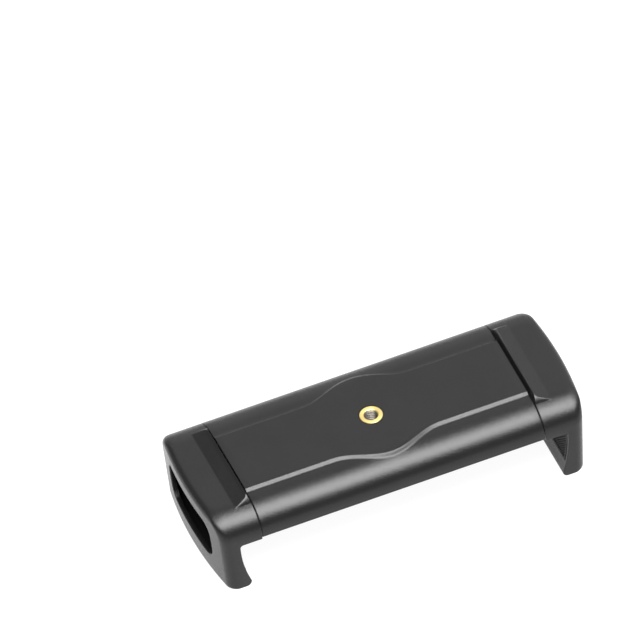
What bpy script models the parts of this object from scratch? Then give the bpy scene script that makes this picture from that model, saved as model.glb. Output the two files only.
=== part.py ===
"""Spring-loaded tablet clamp with a tripod thread, for Blender 4.5.

The clamp is closed and stands on the lips of its two jaws, with its back and its brass tripod
insert up. X runs along the two slides, Y across the clamp and Z up, out of its back. The origin
is under the middle of the clamp, on the plane that both lips stand on. All sizes are in metres.

Each jaw hangs on two steel rods of its own. The left jaw's pair is set wide and the right jaw's
pair close, so that they pass each other inside the body. A compression spring on each rod sits
between the body's end wall and a washer at the rod's inner end, and pulls the jaw home.
"""

import bmesh
import bpy
from math import asin, cos, pi, radians, sin, sqrt
from mathutils import Matrix, Vector

MM = 0.001

# Running and seating clearances
SEAT_GAP = 0.3 * MM
ROD_CLEARANCE = 0.35 * MM
CHANNEL_CLEARANCE = 0.3 * MM
SPRING_CLEARANCE = 0.3 * MM

# Body, seen from the back: its length, width, depth and the crown of its long edges
BODY_LENGTH = 120 * MM
BODY_WIDTH = 63.5 * MM
BODY_DEPTH = 13 * MM
CROWN_RUN = 12.75 * MM
SIDE_HEIGHT = 2.1 * MM
WALL = 2 * MM
END_WALL = 2.5 * MM

# Raised back panel with its wavy edge
PANEL_STEP = 0.9 * MM
PANEL_STEP_RUN = 1.7 * MM
PANEL_INSET = 4.1 * MM
PANEL_BULGE = 6.7 * MM
PANEL_BULGE_HALF_LENGTH = 20 * MM

# Front plate, the rubber sheet in it and the screws under the sheet
RIM_STEP = 1 * MM
LEDGE_WIDTH = 0.9 * MM
FRONT_PLATE = 2.4 * MM
PAD_MARGIN_X = 3.3 * MM
PAD_MARGIN_Y = 3.2 * MM
PAD_CORNER = 3 * MM
PAD_RECESS = 1 * MM
PAD_SHEET = 0.6 * MM
PAD_RIB_HEIGHT = 0.45 * MM
PAD_RIB_PITCH = 1.55 * MM
PAD_RIB_TOP = 0.6 * MM
PAD_RIB_FOOT = 0.95 * MM
PAD_RIB_ANGLE = radians(45)
FIELD_LENGTH = 47.4 * MM
FIELD_WIDTH = 20.4 * MM
FIELD_CORNER = 4 * MM
FIELD_SINK = 0.2 * MM
OUTER_SCREW_INSET = 14 * MM
INNER_SCREW_INSET = 38 * MM
SCREW_RADIUS = 1.1 * MM
SCREW_LENGTH = 6 * MM
SCREW_HEAD_RADIUS = 2 * MM
SCREW_HEAD_HEIGHT = 1.2 * MM
SCREW_SLOT_WIDTH = 0.6 * MM
SCREW_SLOT_DEPTH = 0.7 * MM
SCREW_SLOT_HALF = 1.25 * MM
SCREW_TIP_ROOM = 0.5 * MM
POST_WALL = 1.3 * MM
PLATE_BOSS_HEIGHT = 2 * MM
PLATE_BOSS_WALL = 0.9 * MM

# Brass insert with the tripod thread
THREAD_RADIUS = 2.55 * MM
THREAD_DEPTH = 6.2 * MM
INSERT_FLANGE_RADIUS = 4.65 * MM
INSERT_FLANGE = 0.8 * MM
INSERT_RADIUS = 3.7 * MM
INSERT_FLOOR = 0.8 * MM
INSERT_EDGE = 0.15 * MM
THREAD_LEAD_IN = 0.35 * MM
INSERT_BOSS_WALL = 1.5 * MM

# Jaws: shell, end wall, hook, lip and window
JAW_LENGTH = 19.8 * MM
HOOK_DEPTH = 36 * MM
END_BULGE_RADIUS = 170 * MM
END_LEAN = 2 * MM
JAW_CORNER = 4.2 * MM
JAW_TOP_EDGE = 3 * MM
LIP_EDGE = 1.2 * MM
HOOK_THICKNESS = 10.5 * MM
HOOK_WALL = 3.6 * MM
LIP_OVERHANG = 3.5 * MM
LIP_NOSE = 2.3 * MM
HOOK_ROOT_CORNER = 1.2 * MM
WINDOW_SIDE_MARGIN = 11.25 * MM
WINDOW_LOW = 9 * MM
WINDOW_TOP_MARGIN = 8.4 * MM
WINDOW_CORNER = 5.5 * MM
FLOOR_RIB_WIDTH = 1 * MM
FLOOR_RIB_HEIGHT = 1.4 * MM
FLOOR_RIB_Y = 5.2 * MM

# Thumb ridge on each jaw's back
RIDGE_HEIGHT = 2.5 * MM
RIDGE_CREST = 1.9 * MM
RIDGE_FOOT = 6.5 * MM
RIDGE_SETBACK = 0.45 * MM
RIDGE_FACE_START = 0.25 * MM
RIDGE_CREST_INSET = 1 * MM
RIDGE_FOOT_OVERRUN = 4 * MM
RIDGE_HOLLOW = 1.6

# Rubber pads on the hooks
JAW_PAD_THICKNESS = 1.4 * MM
JAW_PAD_PROUD = 0.2 * MM
JAW_PAD_LOW = 7.8 * MM
JAW_PAD_SEAT_MARGIN = 1.8 * MM
JAW_PAD_END_MARGIN = 1.4 * MM

# Slides: rods, their bosses, springs, washers and clips
ROD_RADIUS = 1.5 * MM
ROD_EDGE = 0.3 * MM
WIDE_ROD_INSET = 8.75 * MM
ROD_PITCH = 9.3 * MM
ROD_TAIL_ROOM = 5.6 * MM
ROD_HEAD_ROOM = 1.5 * MM
ROD_BOSS_WALL = 1.5 * MM
ROD_WEB_INSET = 0.07 * MM
JAW_BOSS_START = 1.5 * MM
JAW_BOSS_ROOM = 7.8 * MM
GUIDE_LENGTH = 8 * MM
GROOVE_DEPTH = 0.4 * MM
CLIP_THICKNESS = 0.6 * MM
CLIP_RIM = 0.9 * MM
CLIP_OPENING = radians(70)
ROD_END_LAND = 1.2 * MM
WASHER_RIM = 0.1 * MM
WASHER_THICKNESS = 0.8 * MM
SPRING_WIRE = 0.7 * MM
SPRING_TURNS = 12
SPRING_END_PITCH = 1 * MM
RIB_INSET = 26 * MM
RIB_THICKNESS = 1.2 * MM

# Levels and places that follow from the sizes above
PANEL_Z = HOOK_DEPTH
CROWN_Z = PANEL_Z - PANEL_STEP
CEILING_Z = CROWN_Z - WALL
SEAT_Z = PANEL_Z - BODY_DEPTH
RIM_Z = SEAT_Z + RIM_STEP
CROWN_FOOT_Z = RIM_Z + SIDE_HEIGHT
CROWN_DROP = CROWN_Z - CROWN_FOOT_Z
PLATE_TOP_Z = SEAT_Z + FRONT_PLATE
ROD_Z = (PLATE_TOP_Z + CEILING_Z) / 2
SCREW_SEAT_Z = SEAT_Z + PAD_RECESS + SCREW_HEAD_HEIGHT + 2 * SEAT_GAP
POST_END_Z = PLATE_TOP_Z + PLATE_BOSS_HEIGHT + SEAT_GAP
HALF_LENGTH = BODY_LENGTH / 2
HALF_WIDTH = BODY_WIDTH / 2
CROWN_FLAT_HALF = HALF_WIDTH - CROWN_RUN
PANEL_HALF_WIDTH = CROWN_FLAT_HALF - PANEL_INSET
MOUTH_X = HALF_LENGTH + SEAT_GAP
INSIDE_X = HALF_LENGTH - END_WALL
WIDE_ROD_Y = HALF_WIDTH - WIDE_ROD_INSET
CLOSE_ROD_Y = WIDE_ROD_Y - ROD_PITCH
HOOK_REACH = JAW_LENGTH - HOOK_THICKNESS
WINDOW_HIGH = PANEL_Z - WINDOW_TOP_MARGIN
JAW_PAD_HIGH = SEAT_Z - JAW_PAD_SEAT_MARGIN
JAW_BOSS_END = JAW_LENGTH - JAW_BOSS_ROOM
ROD_TAIL = JAW_LENGTH - ROD_TAIL_ROOM
ROD_HEAD = MOUTH_X + INSIDE_X - ROD_HEAD_ROOM
SPRING_RADIUS = ROD_RADIUS + SPRING_CLEARANCE + SPRING_WIRE / 2
WASHER_RADIUS = SPRING_RADIUS + SPRING_WIRE / 2 + WASHER_RIM
CLIP_RADIUS = ROD_RADIUS + CLIP_RIM
GROOVE_HALF = CLIP_THICKNESS / 2 + SEAT_GAP
JAW_CLIP_X = -(JAW_BOSS_END + GROOVE_HALF)
SPRING_CLIP_X = ROD_HEAD - ROD_END_LAND - GROOVE_HALF
WASHER_X = SPRING_CLIP_X - GROOVE_HALF - WASHER_THICKNESS / 2
OVERLAP = 0.4 * MM
ROUND_STEPS = 14
INSERT_STEPS = 28

# Finish of each kind of piece: colour, roughness, metallic value
FINISHES = {
    "shell": ((0.055, 0.055, 0.057), 0.42, 0.0),
    "plate": ((0.035, 0.035, 0.037), 0.5, 0.0),
    "rubber": ((0.045, 0.045, 0.046), 0.75, 0.0),
    "brass": ((0.86, 0.68, 0.33), 0.25, 1.0),
    "steel": ((0.72, 0.72, 0.73), 0.18, 1.0),
    "spring_steel": ((0.5, 0.5, 0.52), 0.3, 1.0),
    "zinc": ((0.62, 0.63, 0.66), 0.35, 1.0),
}


def clear_scene():
    for item in list(bpy.data.objects):
        bpy.data.objects.remove(item, do_unlink=True)


def make_material(name, finish):
    colour, roughness, metallic = FINISHES[finish]
    material = bpy.data.materials.new(name + "_finish")
    material.use_nodes = True
    shader = material.node_tree.nodes["Principled BSDF"]
    shader.inputs["Base Color"].default_value = (*colour, 1.0)
    shader.inputs["Roughness"].default_value = roughness
    shader.inputs["Metallic"].default_value = metallic
    material.diffuse_color = (*colour, 1.0)
    return material


def add_object(name, mesh, finish=None, parent=None, place=(0, 0, 0)):
    """Link a mesh as an object, with its own material when it is a piece and not a tool."""
    item = bpy.data.objects.new(name, mesh)
    bpy.context.scene.collection.objects.link(item)
    item.location = place
    item.parent = parent
    if finish:
        mesh.materials.clear()
        mesh.materials.append(make_material(name, finish))
    return item


def share_object(name, source, parent, place):
    """A copy that shares its mesh, so its material too, with another object."""
    item = bpy.data.objects.new(name, source.data)
    bpy.context.scene.collection.objects.link(item)
    item.location = place
    item.parent = parent
    return item


def mesh_from_bmesh(name, form, smooth_angle=radians(35)):
    bmesh.ops.recalc_face_normals(form, faces=form.faces)
    mesh = bpy.data.meshes.new(name)
    form.to_mesh(mesh)
    form.free()
    mesh.shade_smooth()
    mesh.set_sharp_from_angle(angle=smooth_angle)
    return mesh


def loft(name, rings, closed=False):
    """Skin a row of rings with equal point counts. Open rows get end caps, closed rows none.

    Faces that lie in one plane are joined to one face.
    """
    form = bmesh.new()
    rows = [[form.verts.new(point) for point in ring] for ring in rings]
    pairs = list(zip(rows, rows[1:]))
    if closed:
        pairs.append((rows[-1], rows[0]))
    for low, high in pairs:
        count = len(low)
        for i in range(count):
            j = (i + 1) % count
            form.faces.new((low[i], low[j], high[j], high[i]))
    if not closed:
        form.faces.new(rows[0])
        form.faces.new(rows[-1])
    flat = radians(0.05)
    bmesh.ops.dissolve_limit(form, angle_limit=flat, verts=form.verts, edges=form.edges)
    return mesh_from_bmesh(name, form)


def prism(name, outline, axis, low, high):
    """Extrude an outline along X, Y or Z. Its points give the other two coordinates in order."""
    def point(a, b, level):
        return {"X": (level, a, b), "Y": (a, level, b), "Z": (a, b, level)}[axis]

    form = bmesh.new()
    base = form.faces.new([form.verts.new(point(a, b, low)) for a, b in outline])
    grown = bmesh.ops.extrude_face_region(form, geom=[base])
    moved = [v for v in grown["geom"] if isinstance(v, bmesh.types.BMVert)]
    bmesh.ops.translate(form, verts=moved, vec=Vector(point(0, 0, high - low)))
    return mesh_from_bmesh(name, form)


def circle(radius, steps=ROUND_STEPS, centre=(0, 0)):
    """Points of a circle in the plane."""
    angles = [2 * pi * i / steps for i in range(steps)]
    return [(centre[0] + radius * cos(a), centre[1] + radius * sin(a)) for a in angles]


def ring_x(radius, x, steps=ROUND_STEPS):
    """Ring of points round the X axis."""
    return [(x, y, z) for y, z in circle(radius, steps)]


def ring_z(radius, z, steps=ROUND_STEPS):
    """Ring of points round the Z axis."""
    return [(x, y, z) for x, y in circle(radius, steps)]


def rounded_rectangle(half_a, half_b, corner, steps=5):
    """Outline of a rectangle with round corners, centred on zero."""
    points = []
    for quarter in range(4):
        ca = (half_a - corner) * (1 if quarter in (0, 3) else -1)
        cb = (half_b - corner) * (1 if quarter in (0, 1) else -1)
        for i in range(steps + 1):
            angle = (quarter + i / steps) * pi / 2
            points.append((ca + corner * cos(angle), cb + corner * sin(angle)))
    return points


def combine(item, tools, operation="DIFFERENCE"):
    """Cut, join or keep the common part of an object and closed tool meshes, one by one."""
    for number, tool_mesh in enumerate(tools):
        tool = add_object(f"{item.name}_tool", tool_mesh)
        tool.hide_render = True
        tool.display_type = "WIRE"
        boolean = item.modifiers.new(f"{operation.lower()}_{number}", "BOOLEAN")
        boolean.operation = operation
        boolean.solver = "EXACT"
        boolean.object = tool
        settle(item)
        bpy.data.objects.remove(tool, do_unlink=True)


def settle(item):
    """Replace the object's mesh by what its modifiers make of it."""
    graph = bpy.context.evaluated_depsgraph_get()
    made = bpy.data.meshes.new_from_object(item.evaluated_get(graph), depsgraph=graph)
    item.modifiers.clear()
    old = item.data
    item.data = made
    bpy.data.meshes.remove(old)
    made.shade_smooth()
    made.set_sharp_from_angle(angle=radians(35))


def slide_empty(name, side):
    """Parent of all that moves with one jaw, on the slide's line. Its +X points into the body."""
    empty = bpy.data.objects.new(name, None)
    bpy.context.scene.collection.objects.link(empty)
    empty.location = (side * MOUTH_X, 0, ROD_Z)
    empty.rotation_euler = (0, 0, pi if side > 0 else 0)
    return empty


def crown_half_width(z, inset=0.0):
    """Half width of the D-shaped section at a height: straight sides, then an elliptic crown."""
    if z <= CROWN_FOOT_Z:
        return HALF_WIDTH - inset
    rise = min((z - CROWN_FOOT_Z) / (CROWN_DROP - inset), 1.0)
    return CROWN_FLAT_HALF + (CROWN_RUN - inset) * sqrt(1 - rise * rise)


def crown_height(y):
    """Height of the crown's outside over a point of its curved part."""
    out = (abs(y) - CROWN_FLAT_HALF) / CROWN_RUN
    return CROWN_FOOT_Z + CROWN_DROP * sqrt(1 - out * out)


def crown_levels(inset=0.0):
    """Heights of the crown, evenly spaced by angle, from its foot to its flat top."""
    steps = 8 if inset else 9
    drop = CROWN_DROP - inset
    return [CROWN_FOOT_Z + drop * sin(pi / 2 * i / steps) for i in range(steps + 1)]


def section_outline(low_z, inset=0.0):
    """The body's D-shaped section as (y, z) points, front edge first."""
    levels = crown_levels(inset)
    right = [(crown_half_width(z, inset), z) for z in levels]
    left = [(-y, z) for y, z in reversed(right)]
    return [(HALF_WIDTH - inset, low_z)] + right + left + [(-(HALF_WIDTH - inset), low_z)]


def panel_half_width(x):
    """The panel's half width: constant, with one smooth bulge beside the tripod insert."""
    if abs(x) >= PANEL_BULGE_HALF_LENGTH:
        return PANEL_HALF_WIDTH
    swell = (1 + cos(pi * x / PANEL_BULGE_HALF_LENGTH)) / 2
    return PANEL_HALF_WIDTH + PANEL_BULGE * swell


def panel_foot_half_width(x, depth):
    """Half width of the panel's sloping edge at a depth. It meets the crown over the step's run."""
    edge = panel_half_width(x)
    fall = PANEL_Z - crown_height(max(edge + PANEL_STEP_RUN, CROWN_FLAT_HALF))
    return edge + PANEL_STEP_RUN * depth / fall


def panel_mesh():
    """Raised panel: its sloping edge runs on below the crown, which trims it."""
    steps = 16
    bulge = PANEL_BULGE_HALF_LENGTH
    xs = [-HALF_LENGTH] + [-bulge + 2 * bulge * i / steps for i in range(steps + 1)] + [HALF_LENGTH]
    rings = []
    for depth in (2 * PANEL_STEP, 0.0):
        near = [(x, -panel_foot_half_width(x, depth), PANEL_Z - depth) for x in xs]
        far = [(x, panel_foot_half_width(x, depth), PANEL_Z - depth) for x in reversed(xs)]
        rings.append(near + far)
    return loft("panel", rings)


def rib_mesh(x):
    """Cross rib under the housing's ceiling, trimmed to the inside of the crown."""
    outline = section_outline(PLATE_TOP_Z + CHANNEL_CLEARANCE, WALL - OVERLAP)
    return prism("rib", outline, "X", x - RIB_THICKNESS / 2, x + RIB_THICKNESS / 2)


def cylinder_x(radius, low, high, centre):
    return prism("cylinder", circle(radius, centre=centre), "X", low, high)


def cylinder_z(radius, low, high, x=0.0, steps=ROUND_STEPS):
    return prism("cylinder", circle(radius, steps, (x, 0.0)), "Z", low, high)


def screw_stations():
    """Where the housing screws stand on the middle line."""
    outer = HALF_LENGTH - OUTER_SCREW_INSET
    inner = HALF_LENGTH - INNER_SCREW_INSET
    return [-outer, -inner, inner, outer]


def make_rear_housing():
    """Back shell of the body: a crowned tray with end walls, posts, guides and an insert boss."""
    outer = prism("rear_housing", section_outline(RIM_Z), "X", -HALF_LENGTH, HALF_LENGTH)
    housing = add_object("rear_housing", outer, "shell")
    combine(housing, [panel_mesh()], "UNION")
    combine(housing, [prism("hollow", section_outline(SEAT_Z - WALL, WALL), "X", -INSIDE_X, INSIDE_X)])
    rib_x = HALF_LENGTH - RIB_INSET
    combine(housing, [rib_mesh(-rib_x), rib_mesh(rib_x)], "UNION")
    channel_end = rib_x + RIB_THICKNESS
    combine(housing, [
        cylinder_x(WASHER_RADIUS + CHANNEL_CLEARANCE, -channel_end, channel_end, (y, ROD_Z))
        for y in (-WIDE_ROD_Y, -CLOSE_ROD_Y, CLOSE_ROD_Y, WIDE_ROD_Y)
    ])

    post_top = CEILING_Z + OVERLAP
    post_radius = SCREW_RADIUS + SEAT_GAP + POST_WALL
    posts = [cylinder_z(post_radius, POST_END_Z, post_top, x) for x in screw_stations()]
    pocket_radius = INSERT_RADIUS + SEAT_GAP
    pocket_floor = PANEL_Z - THREAD_DEPTH - INSERT_FLOOR - SEAT_GAP
    boss_end = pocket_floor - INSERT_FLOOR
    boss = cylinder_z(pocket_radius + INSERT_BOSS_WALL, boss_end, post_top, steps=INSERT_STEPS)
    combine(housing, posts + [boss], "UNION")

    bore_radius = ROD_RADIUS + ROD_CLEARANCE
    guides = []
    bores = []
    for side, rod_y in ((-1, WIDE_ROD_Y), (1, CLOSE_ROD_Y)):
        wall = side * (INSIDE_X + OVERLAP)
        face = side * (HALF_LENGTH + OVERLAP)
        guide_end = side * (INSIDE_X - GUIDE_LENGTH)
        for y in (-rod_y, rod_y):
            outline = circle(bore_radius + ROD_BOSS_WALL, centre=(y, ROD_Z))
            outline = [(a, max(b, PLATE_TOP_Z + 2 * SEAT_GAP)) for a, b in outline]
            guides.append(prism("guide", outline, "X", min(wall, guide_end), max(wall, guide_end)))
            inner = guide_end - side * OVERLAP
            bores.append(cylinder_x(bore_radius, min(face, inner), max(face, inner), (y, ROD_Z)))
    combine(housing, guides, "UNION")

    pilot_radius = SCREW_RADIUS + SEAT_GAP
    pilot_end = SCREW_SEAT_Z - SEAT_GAP + SCREW_LENGTH + SCREW_TIP_ROOM
    pilots = [cylinder_z(pilot_radius, POST_END_Z - OVERLAP, pilot_end, x) for x in screw_stations()]
    mouth = PANEL_Z + OVERLAP
    flange_radius = INSERT_FLANGE_RADIUS + SEAT_GAP
    flange_floor = PANEL_Z - INSERT_FLANGE - SEAT_GAP
    pocket = cylinder_z(pocket_radius, pocket_floor, mouth, steps=INSERT_STEPS)
    flange_seat = cylinder_z(flange_radius, flange_floor, mouth, steps=INSERT_STEPS)
    combine(housing, bores + pilots + [pocket, flange_seat])


def make_thread_insert():
    """Flanged brass insert: a blind bore for the tripod screw, in a plain turned body."""
    floor_z = PANEL_Z - THREAD_DEPTH
    profile = [
        (INSERT_RADIUS, floor_z - INSERT_FLOOR),
        (INSERT_RADIUS, PANEL_Z - INSERT_FLANGE),
        (INSERT_FLANGE_RADIUS, PANEL_Z - INSERT_FLANGE),
        (INSERT_FLANGE_RADIUS, PANEL_Z - INSERT_EDGE),
        (INSERT_FLANGE_RADIUS - INSERT_EDGE, PANEL_Z),
        (THREAD_RADIUS + THREAD_LEAD_IN, PANEL_Z),
        (THREAD_RADIUS, PANEL_Z - THREAD_LEAD_IN),
        (THREAD_RADIUS, floor_z),
    ]
    insert = loft("thread_insert", [ring_z(radius, z, INSERT_STEPS) for radius, z in profile])
    add_object("thread_insert", insert, "brass")


def plate(name, half_x, half_y, low, high):
    outline = [(-half_x, -half_y), (half_x, -half_y), (half_x, half_y), (-half_x, half_y)]
    return prism(name, outline, "Z", low, high)


def make_front_frame():
    """Front plate: a flange over the housing's rim, a plug inside its walls and screw bosses."""
    flange = plate("front_frame", HALF_LENGTH, HALF_WIDTH - LEDGE_WIDTH, SEAT_Z, RIM_Z - SEAT_GAP)
    frame = add_object("front_frame", flange, "plate")
    plug_x = INSIDE_X - SEAT_GAP
    plug_y = HALF_WIDTH - WALL - SEAT_GAP
    plug = plate("plug", plug_x, plug_y, SEAT_Z + OVERLAP, PLATE_TOP_Z)
    head_room = SCREW_HEAD_RADIUS + SEAT_GAP
    boss_radius = head_room + PLATE_BOSS_WALL
    boss_end = PLATE_TOP_Z + PLATE_BOSS_HEIGHT
    stations = screw_stations()
    bosses = [cylinder_z(boss_radius, PLATE_TOP_Z - OVERLAP, boss_end, x) for x in stations]
    combine(frame, [plug] + bosses, "UNION")

    recess_outline = rounded_rectangle(
        HALF_LENGTH - PAD_MARGIN_X + SEAT_GAP,
        HALF_WIDTH - PAD_MARGIN_Y + SEAT_GAP,
        PAD_CORNER + SEAT_GAP,
    )
    recess = prism("recess", recess_outline, "Z", SEAT_Z - OVERLAP, SEAT_Z + PAD_RECESS)
    heads = [cylinder_z(head_room, SEAT_Z, SCREW_SEAT_Z, x) for x in stations]
    holes = [cylinder_z(SCREW_RADIUS + SEAT_GAP, SEAT_Z, boss_end + OVERLAP, x) for x in stations]
    combine(frame, [recess] + heads + holes)


def make_housing_screws():
    """Four screws that draw the front plate to the housing, heads under the rubber sheet."""
    chamfer = SCREW_RADIUS / 3
    tip = SCREW_HEAD_HEIGHT + SCREW_LENGTH
    profile = [
        (SCREW_HEAD_RADIUS - chamfer, 0),
        (SCREW_HEAD_RADIUS, chamfer),
        (SCREW_HEAD_RADIUS, SCREW_HEAD_HEIGHT),
        (SCREW_RADIUS, SCREW_HEAD_HEIGHT),
        (SCREW_RADIUS, tip - chamfer),
        (SCREW_RADIUS - chamfer, tip),
    ]
    blank = loft("housing_screw", [ring_z(radius, z) for radius, z in profile])
    screw = add_object("housing_screw_1", blank, "zinc")
    half = SCREW_SLOT_WIDTH / 2
    combine(screw, [
        plate("slot", SCREW_SLOT_HALF, half, -OVERLAP, SCREW_SLOT_DEPTH),
        plate("slot", half, SCREW_SLOT_HALF, -OVERLAP, SCREW_SLOT_DEPTH),
    ])
    level = SCREW_SEAT_Z - SEAT_GAP - SCREW_HEAD_HEIGHT
    stations = screw_stations()
    screw.location = (stations[0], 0, level)
    for number, x in enumerate(stations[1:], 2):
        share_object(f"housing_screw_{number}", screw, None, (x, 0, level))


def make_grip_pad():
    """Rubber sheet on the front: slanted ribs, clipped to the outline, round a bare field."""
    half_x = HALF_LENGTH - PAD_MARGIN_X
    half_y = HALF_WIDTH - PAD_MARGIN_Y
    back_z = SEAT_Z + PAD_RECESS - SEAT_GAP
    valley_z = back_z - PAD_SHEET
    top_z = valley_z - PAD_RIB_HEIGHT
    reach = (half_x + half_y) / sqrt(2) + PAD_RIB_PITCH
    ribs = int(reach / PAD_RIB_PITCH)
    profile = [(-reach, back_z), (reach, back_z)]
    for i in range(ribs, -ribs - 1, -1):
        centre = i * PAD_RIB_PITCH
        foot = PAD_RIB_FOOT / 2
        top = PAD_RIB_TOP / 2
        profile += [(centre + foot, valley_z), (centre + top, top_z)]
        profile += [(centre - top, top_z), (centre - foot, valley_z)]
    along = Matrix.Rotation(PAD_RIB_ANGLE, 3, "Z")
    ends = []
    for level in (-reach, reach):
        ends.append([along @ Vector((level, across, z)) for across, z in profile])
    pad = add_object("grip_pad", loft("grip_pad", ends), "rubber")
    outline = rounded_rectangle(half_x, half_y, PAD_CORNER)
    combine(pad, [prism("outline", outline, "Z", top_z - PAD_RECESS, back_z + PAD_RECESS)], "INTERSECT")
    field = rounded_rectangle(FIELD_LENGTH / 2, FIELD_WIDTH / 2, FIELD_CORNER)
    combine(pad, [prism("field", field, "Z", top_z - PAD_RECESS, valley_z + FIELD_SINK)])


def end_outline(half_width, length, mouth):
    """Plan of a jaw at one height: straight sides, round corners and a bulging end arc.

    Points run from the mouth along +Y side, round the end and back, as (x, y) with x going
    outward from the mouth as a negative number.
    """
    corner = JAW_CORNER
    arc_centre = length - END_BULGE_RADIUS
    corner_y = half_width - corner
    corner_angle = asin(corner_y / (END_BULGE_RADIUS - corner))
    corner_x = arc_centre + (END_BULGE_RADIUS - corner) * cos(corner_angle)
    steps = 5
    points = [(mouth, half_width)]
    for i in range(steps + 1):
        angle = pi / 2 + (corner_angle - pi / 2) * i / steps
        points.append((corner_x + corner * cos(angle), corner_y + corner * sin(angle)))
    arc_steps = 4
    for i in range(1, arc_steps):
        angle = corner_angle * (1 - i / arc_steps)
        points.append((arc_centre + END_BULGE_RADIUS * cos(angle), END_BULGE_RADIUS * sin(angle)))
    mirrored = [(x, -y) for x, y in reversed(points)]
    middle = [(length, 0.0)]
    return [(-x, y) for x, y in points + middle + mirrored]


def edge_inset(distance, radius):
    """How far a rounded edge draws back at a distance from the face that it ends on."""
    if distance >= radius:
        return 0.0
    return radius - sqrt(radius * radius - (radius - distance) ** 2)


def jaw_form(name, inset=0.0):
    """Outer form of a jaw, lofted from plan outlines by height, or its inside when inset.

    The inside starts beyond the mouth, so that it leaves the mouth open.
    """
    levels = crown_levels(inset)
    low, mouth, lip_edge = (inset, -inset, 0.0) if inset else (0.0, 0.0, LIP_EDGE)
    top_z = levels[-1]
    foot = [low + lip_edge * (1 - cos(pi / 2 * i / 3)) for i in range(4)] if lip_edge else [low]
    levels = foot + [(foot[-1] + levels[0]) / 2] + levels
    rings = []
    for z in levels:
        lean = END_LEAN * (CROWN_Z - z) / CROWN_Z
        lip_inset = edge_inset(z - low, lip_edge)
        end_inset = lip_inset + edge_inset(top_z - z, JAW_TOP_EDGE - inset / 2)
        length = JAW_LENGTH - inset - lean - end_inset
        half_width = crown_half_width(z, inset) - lip_inset
        rings.append([(x, y, z - ROD_Z) for x, y in end_outline(half_width, length, mouth)])
    return loft(name, rings)


def hook_face(z):
    """Distance from the mouth of the hook's inner face: a parabola that leans in to the lip."""
    depth = (SEAT_Z - HOOK_ROOT_CORNER - z) / (SEAT_Z - HOOK_ROOT_CORNER - LIP_NOSE)
    return HOOK_REACH - LIP_OVERHANG * max(depth, 0.0) ** 2


def hook_face_points(low, high, steps, offset=0.0):
    """Points down the hook's inner face, moved into the wall by an offset, as (x, z)."""
    points = []
    for i in range(steps + 1):
        z = high + (low - high) * i / steps
        points.append((-(hook_face(z) + offset), z - ROD_Z))
    return points


def tablet_space(name):
    """What the hook bends round: under the seat, along the hook's face and past the lip's nose."""
    corner = HOOK_ROOT_CORNER
    outline = [(WALL, SEAT_Z - ROD_Z)]
    for i in range(4):
        angle = pi / 2 * i / 3
        x = HOOK_REACH - corner + corner * sin(angle)
        outline.append((-x, SEAT_Z - corner + corner * cos(angle) - ROD_Z))
    outline += hook_face_points(LIP_NOSE, SEAT_Z - corner, 9)[1:]
    nose_x = HOOK_REACH - LIP_OVERHANG + LIP_NOSE
    for i in range(1, 6):
        angle = pi / 2 * i / 5
        outline.append((-(nose_x - LIP_NOSE * cos(angle)), LIP_NOSE * (1 - sin(angle)) - ROD_Z))
    outline += [(-nose_x, -WALL - ROD_Z), (WALL, -WALL - ROD_Z)]
    return prism(name, outline, "Y", -BODY_WIDTH, BODY_WIDTH)


def jaw_hollow():
    """Inside of the jaw: base and hook in one space, open at the mouth."""
    hollow = add_object("jaw_hollow", jaw_form("jaw_hollow", WALL))
    solid = [(2 * WALL, SEAT_Z + WALL - ROD_Z), (-(HOOK_REACH + HOOK_WALL), SEAT_Z + WALL - ROD_Z)]
    solid += hook_face_points(LIP_NOSE, SEAT_Z - HOOK_ROOT_CORNER, 6, HOOK_WALL)
    lip_x = -(HOOK_REACH - LIP_OVERHANG + HOOK_WALL)
    solid += [(lip_x, -WALL - ROD_Z), (2 * WALL, -WALL - ROD_Z)]
    combine(hollow, [prism("hook_wall", solid, "Y", -BODY_WIDTH, BODY_WIDTH)])
    mesh = hollow.data.copy()
    bpy.data.objects.remove(hollow, do_unlink=True)
    return mesh


def ridge_mesh():
    """Thumb ridge: a hollow slope that rises to a crest near the mouth, with slanted ends."""
    base_z = CROWN_Z - PANEL_STEP - ROD_Z
    steps = 6
    slope = []
    for i in range(steps + 1):
        x = RIDGE_FOOT + (RIDGE_CREST - RIDGE_FOOT) * i / steps
        rise = ((RIDGE_FOOT - x) / (RIDGE_FOOT - RIDGE_CREST)) ** RIDGE_HOLLOW
        slope.append((x, RIDGE_HEIGHT * rise))
    slope.append((RIDGE_SETBACK, RIDGE_FACE_START))
    rings = []
    crest_y = CROWN_FLAT_HALF - RIDGE_CREST_INSET
    foot_y = CROWN_FLAT_HALF + RIDGE_FOOT_OVERRUN
    foot_sink = CROWN_Z - crown_height(foot_y)
    for y, share, sink in (
        (-foot_y, 0.0, foot_sink),
        (-crest_y, 1.0, 0.0),
        (crest_y, 1.0, 0.0),
        (foot_y, 0.0, foot_sink),
    ):
        top = [(-x, y, CROWN_Z - ROD_Z - sink + rise * share) for x, rise in slope]
        foot = [(-RIDGE_SETBACK, y, base_z), (-RIDGE_FOOT, y, base_z)]
        rings.append(top + foot)
    return loft("ridge", rings)


def window_mesh():
    """Round-cornered window through the jaw's end wall."""
    centre_z = (WINDOW_LOW + WINDOW_HIGH) / 2 - ROD_Z
    half_width = HALF_WIDTH - WINDOW_SIDE_MARGIN
    outline = rounded_rectangle(half_width, (WINDOW_HIGH - WINDOW_LOW) / 2, WINDOW_CORNER)
    outline = [(y, z + centre_z) for y, z in outline]
    return prism("window", outline, "X", -(JAW_LENGTH + WALL), -(HOOK_REACH + HOOK_WALL + OVERLAP))


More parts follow.
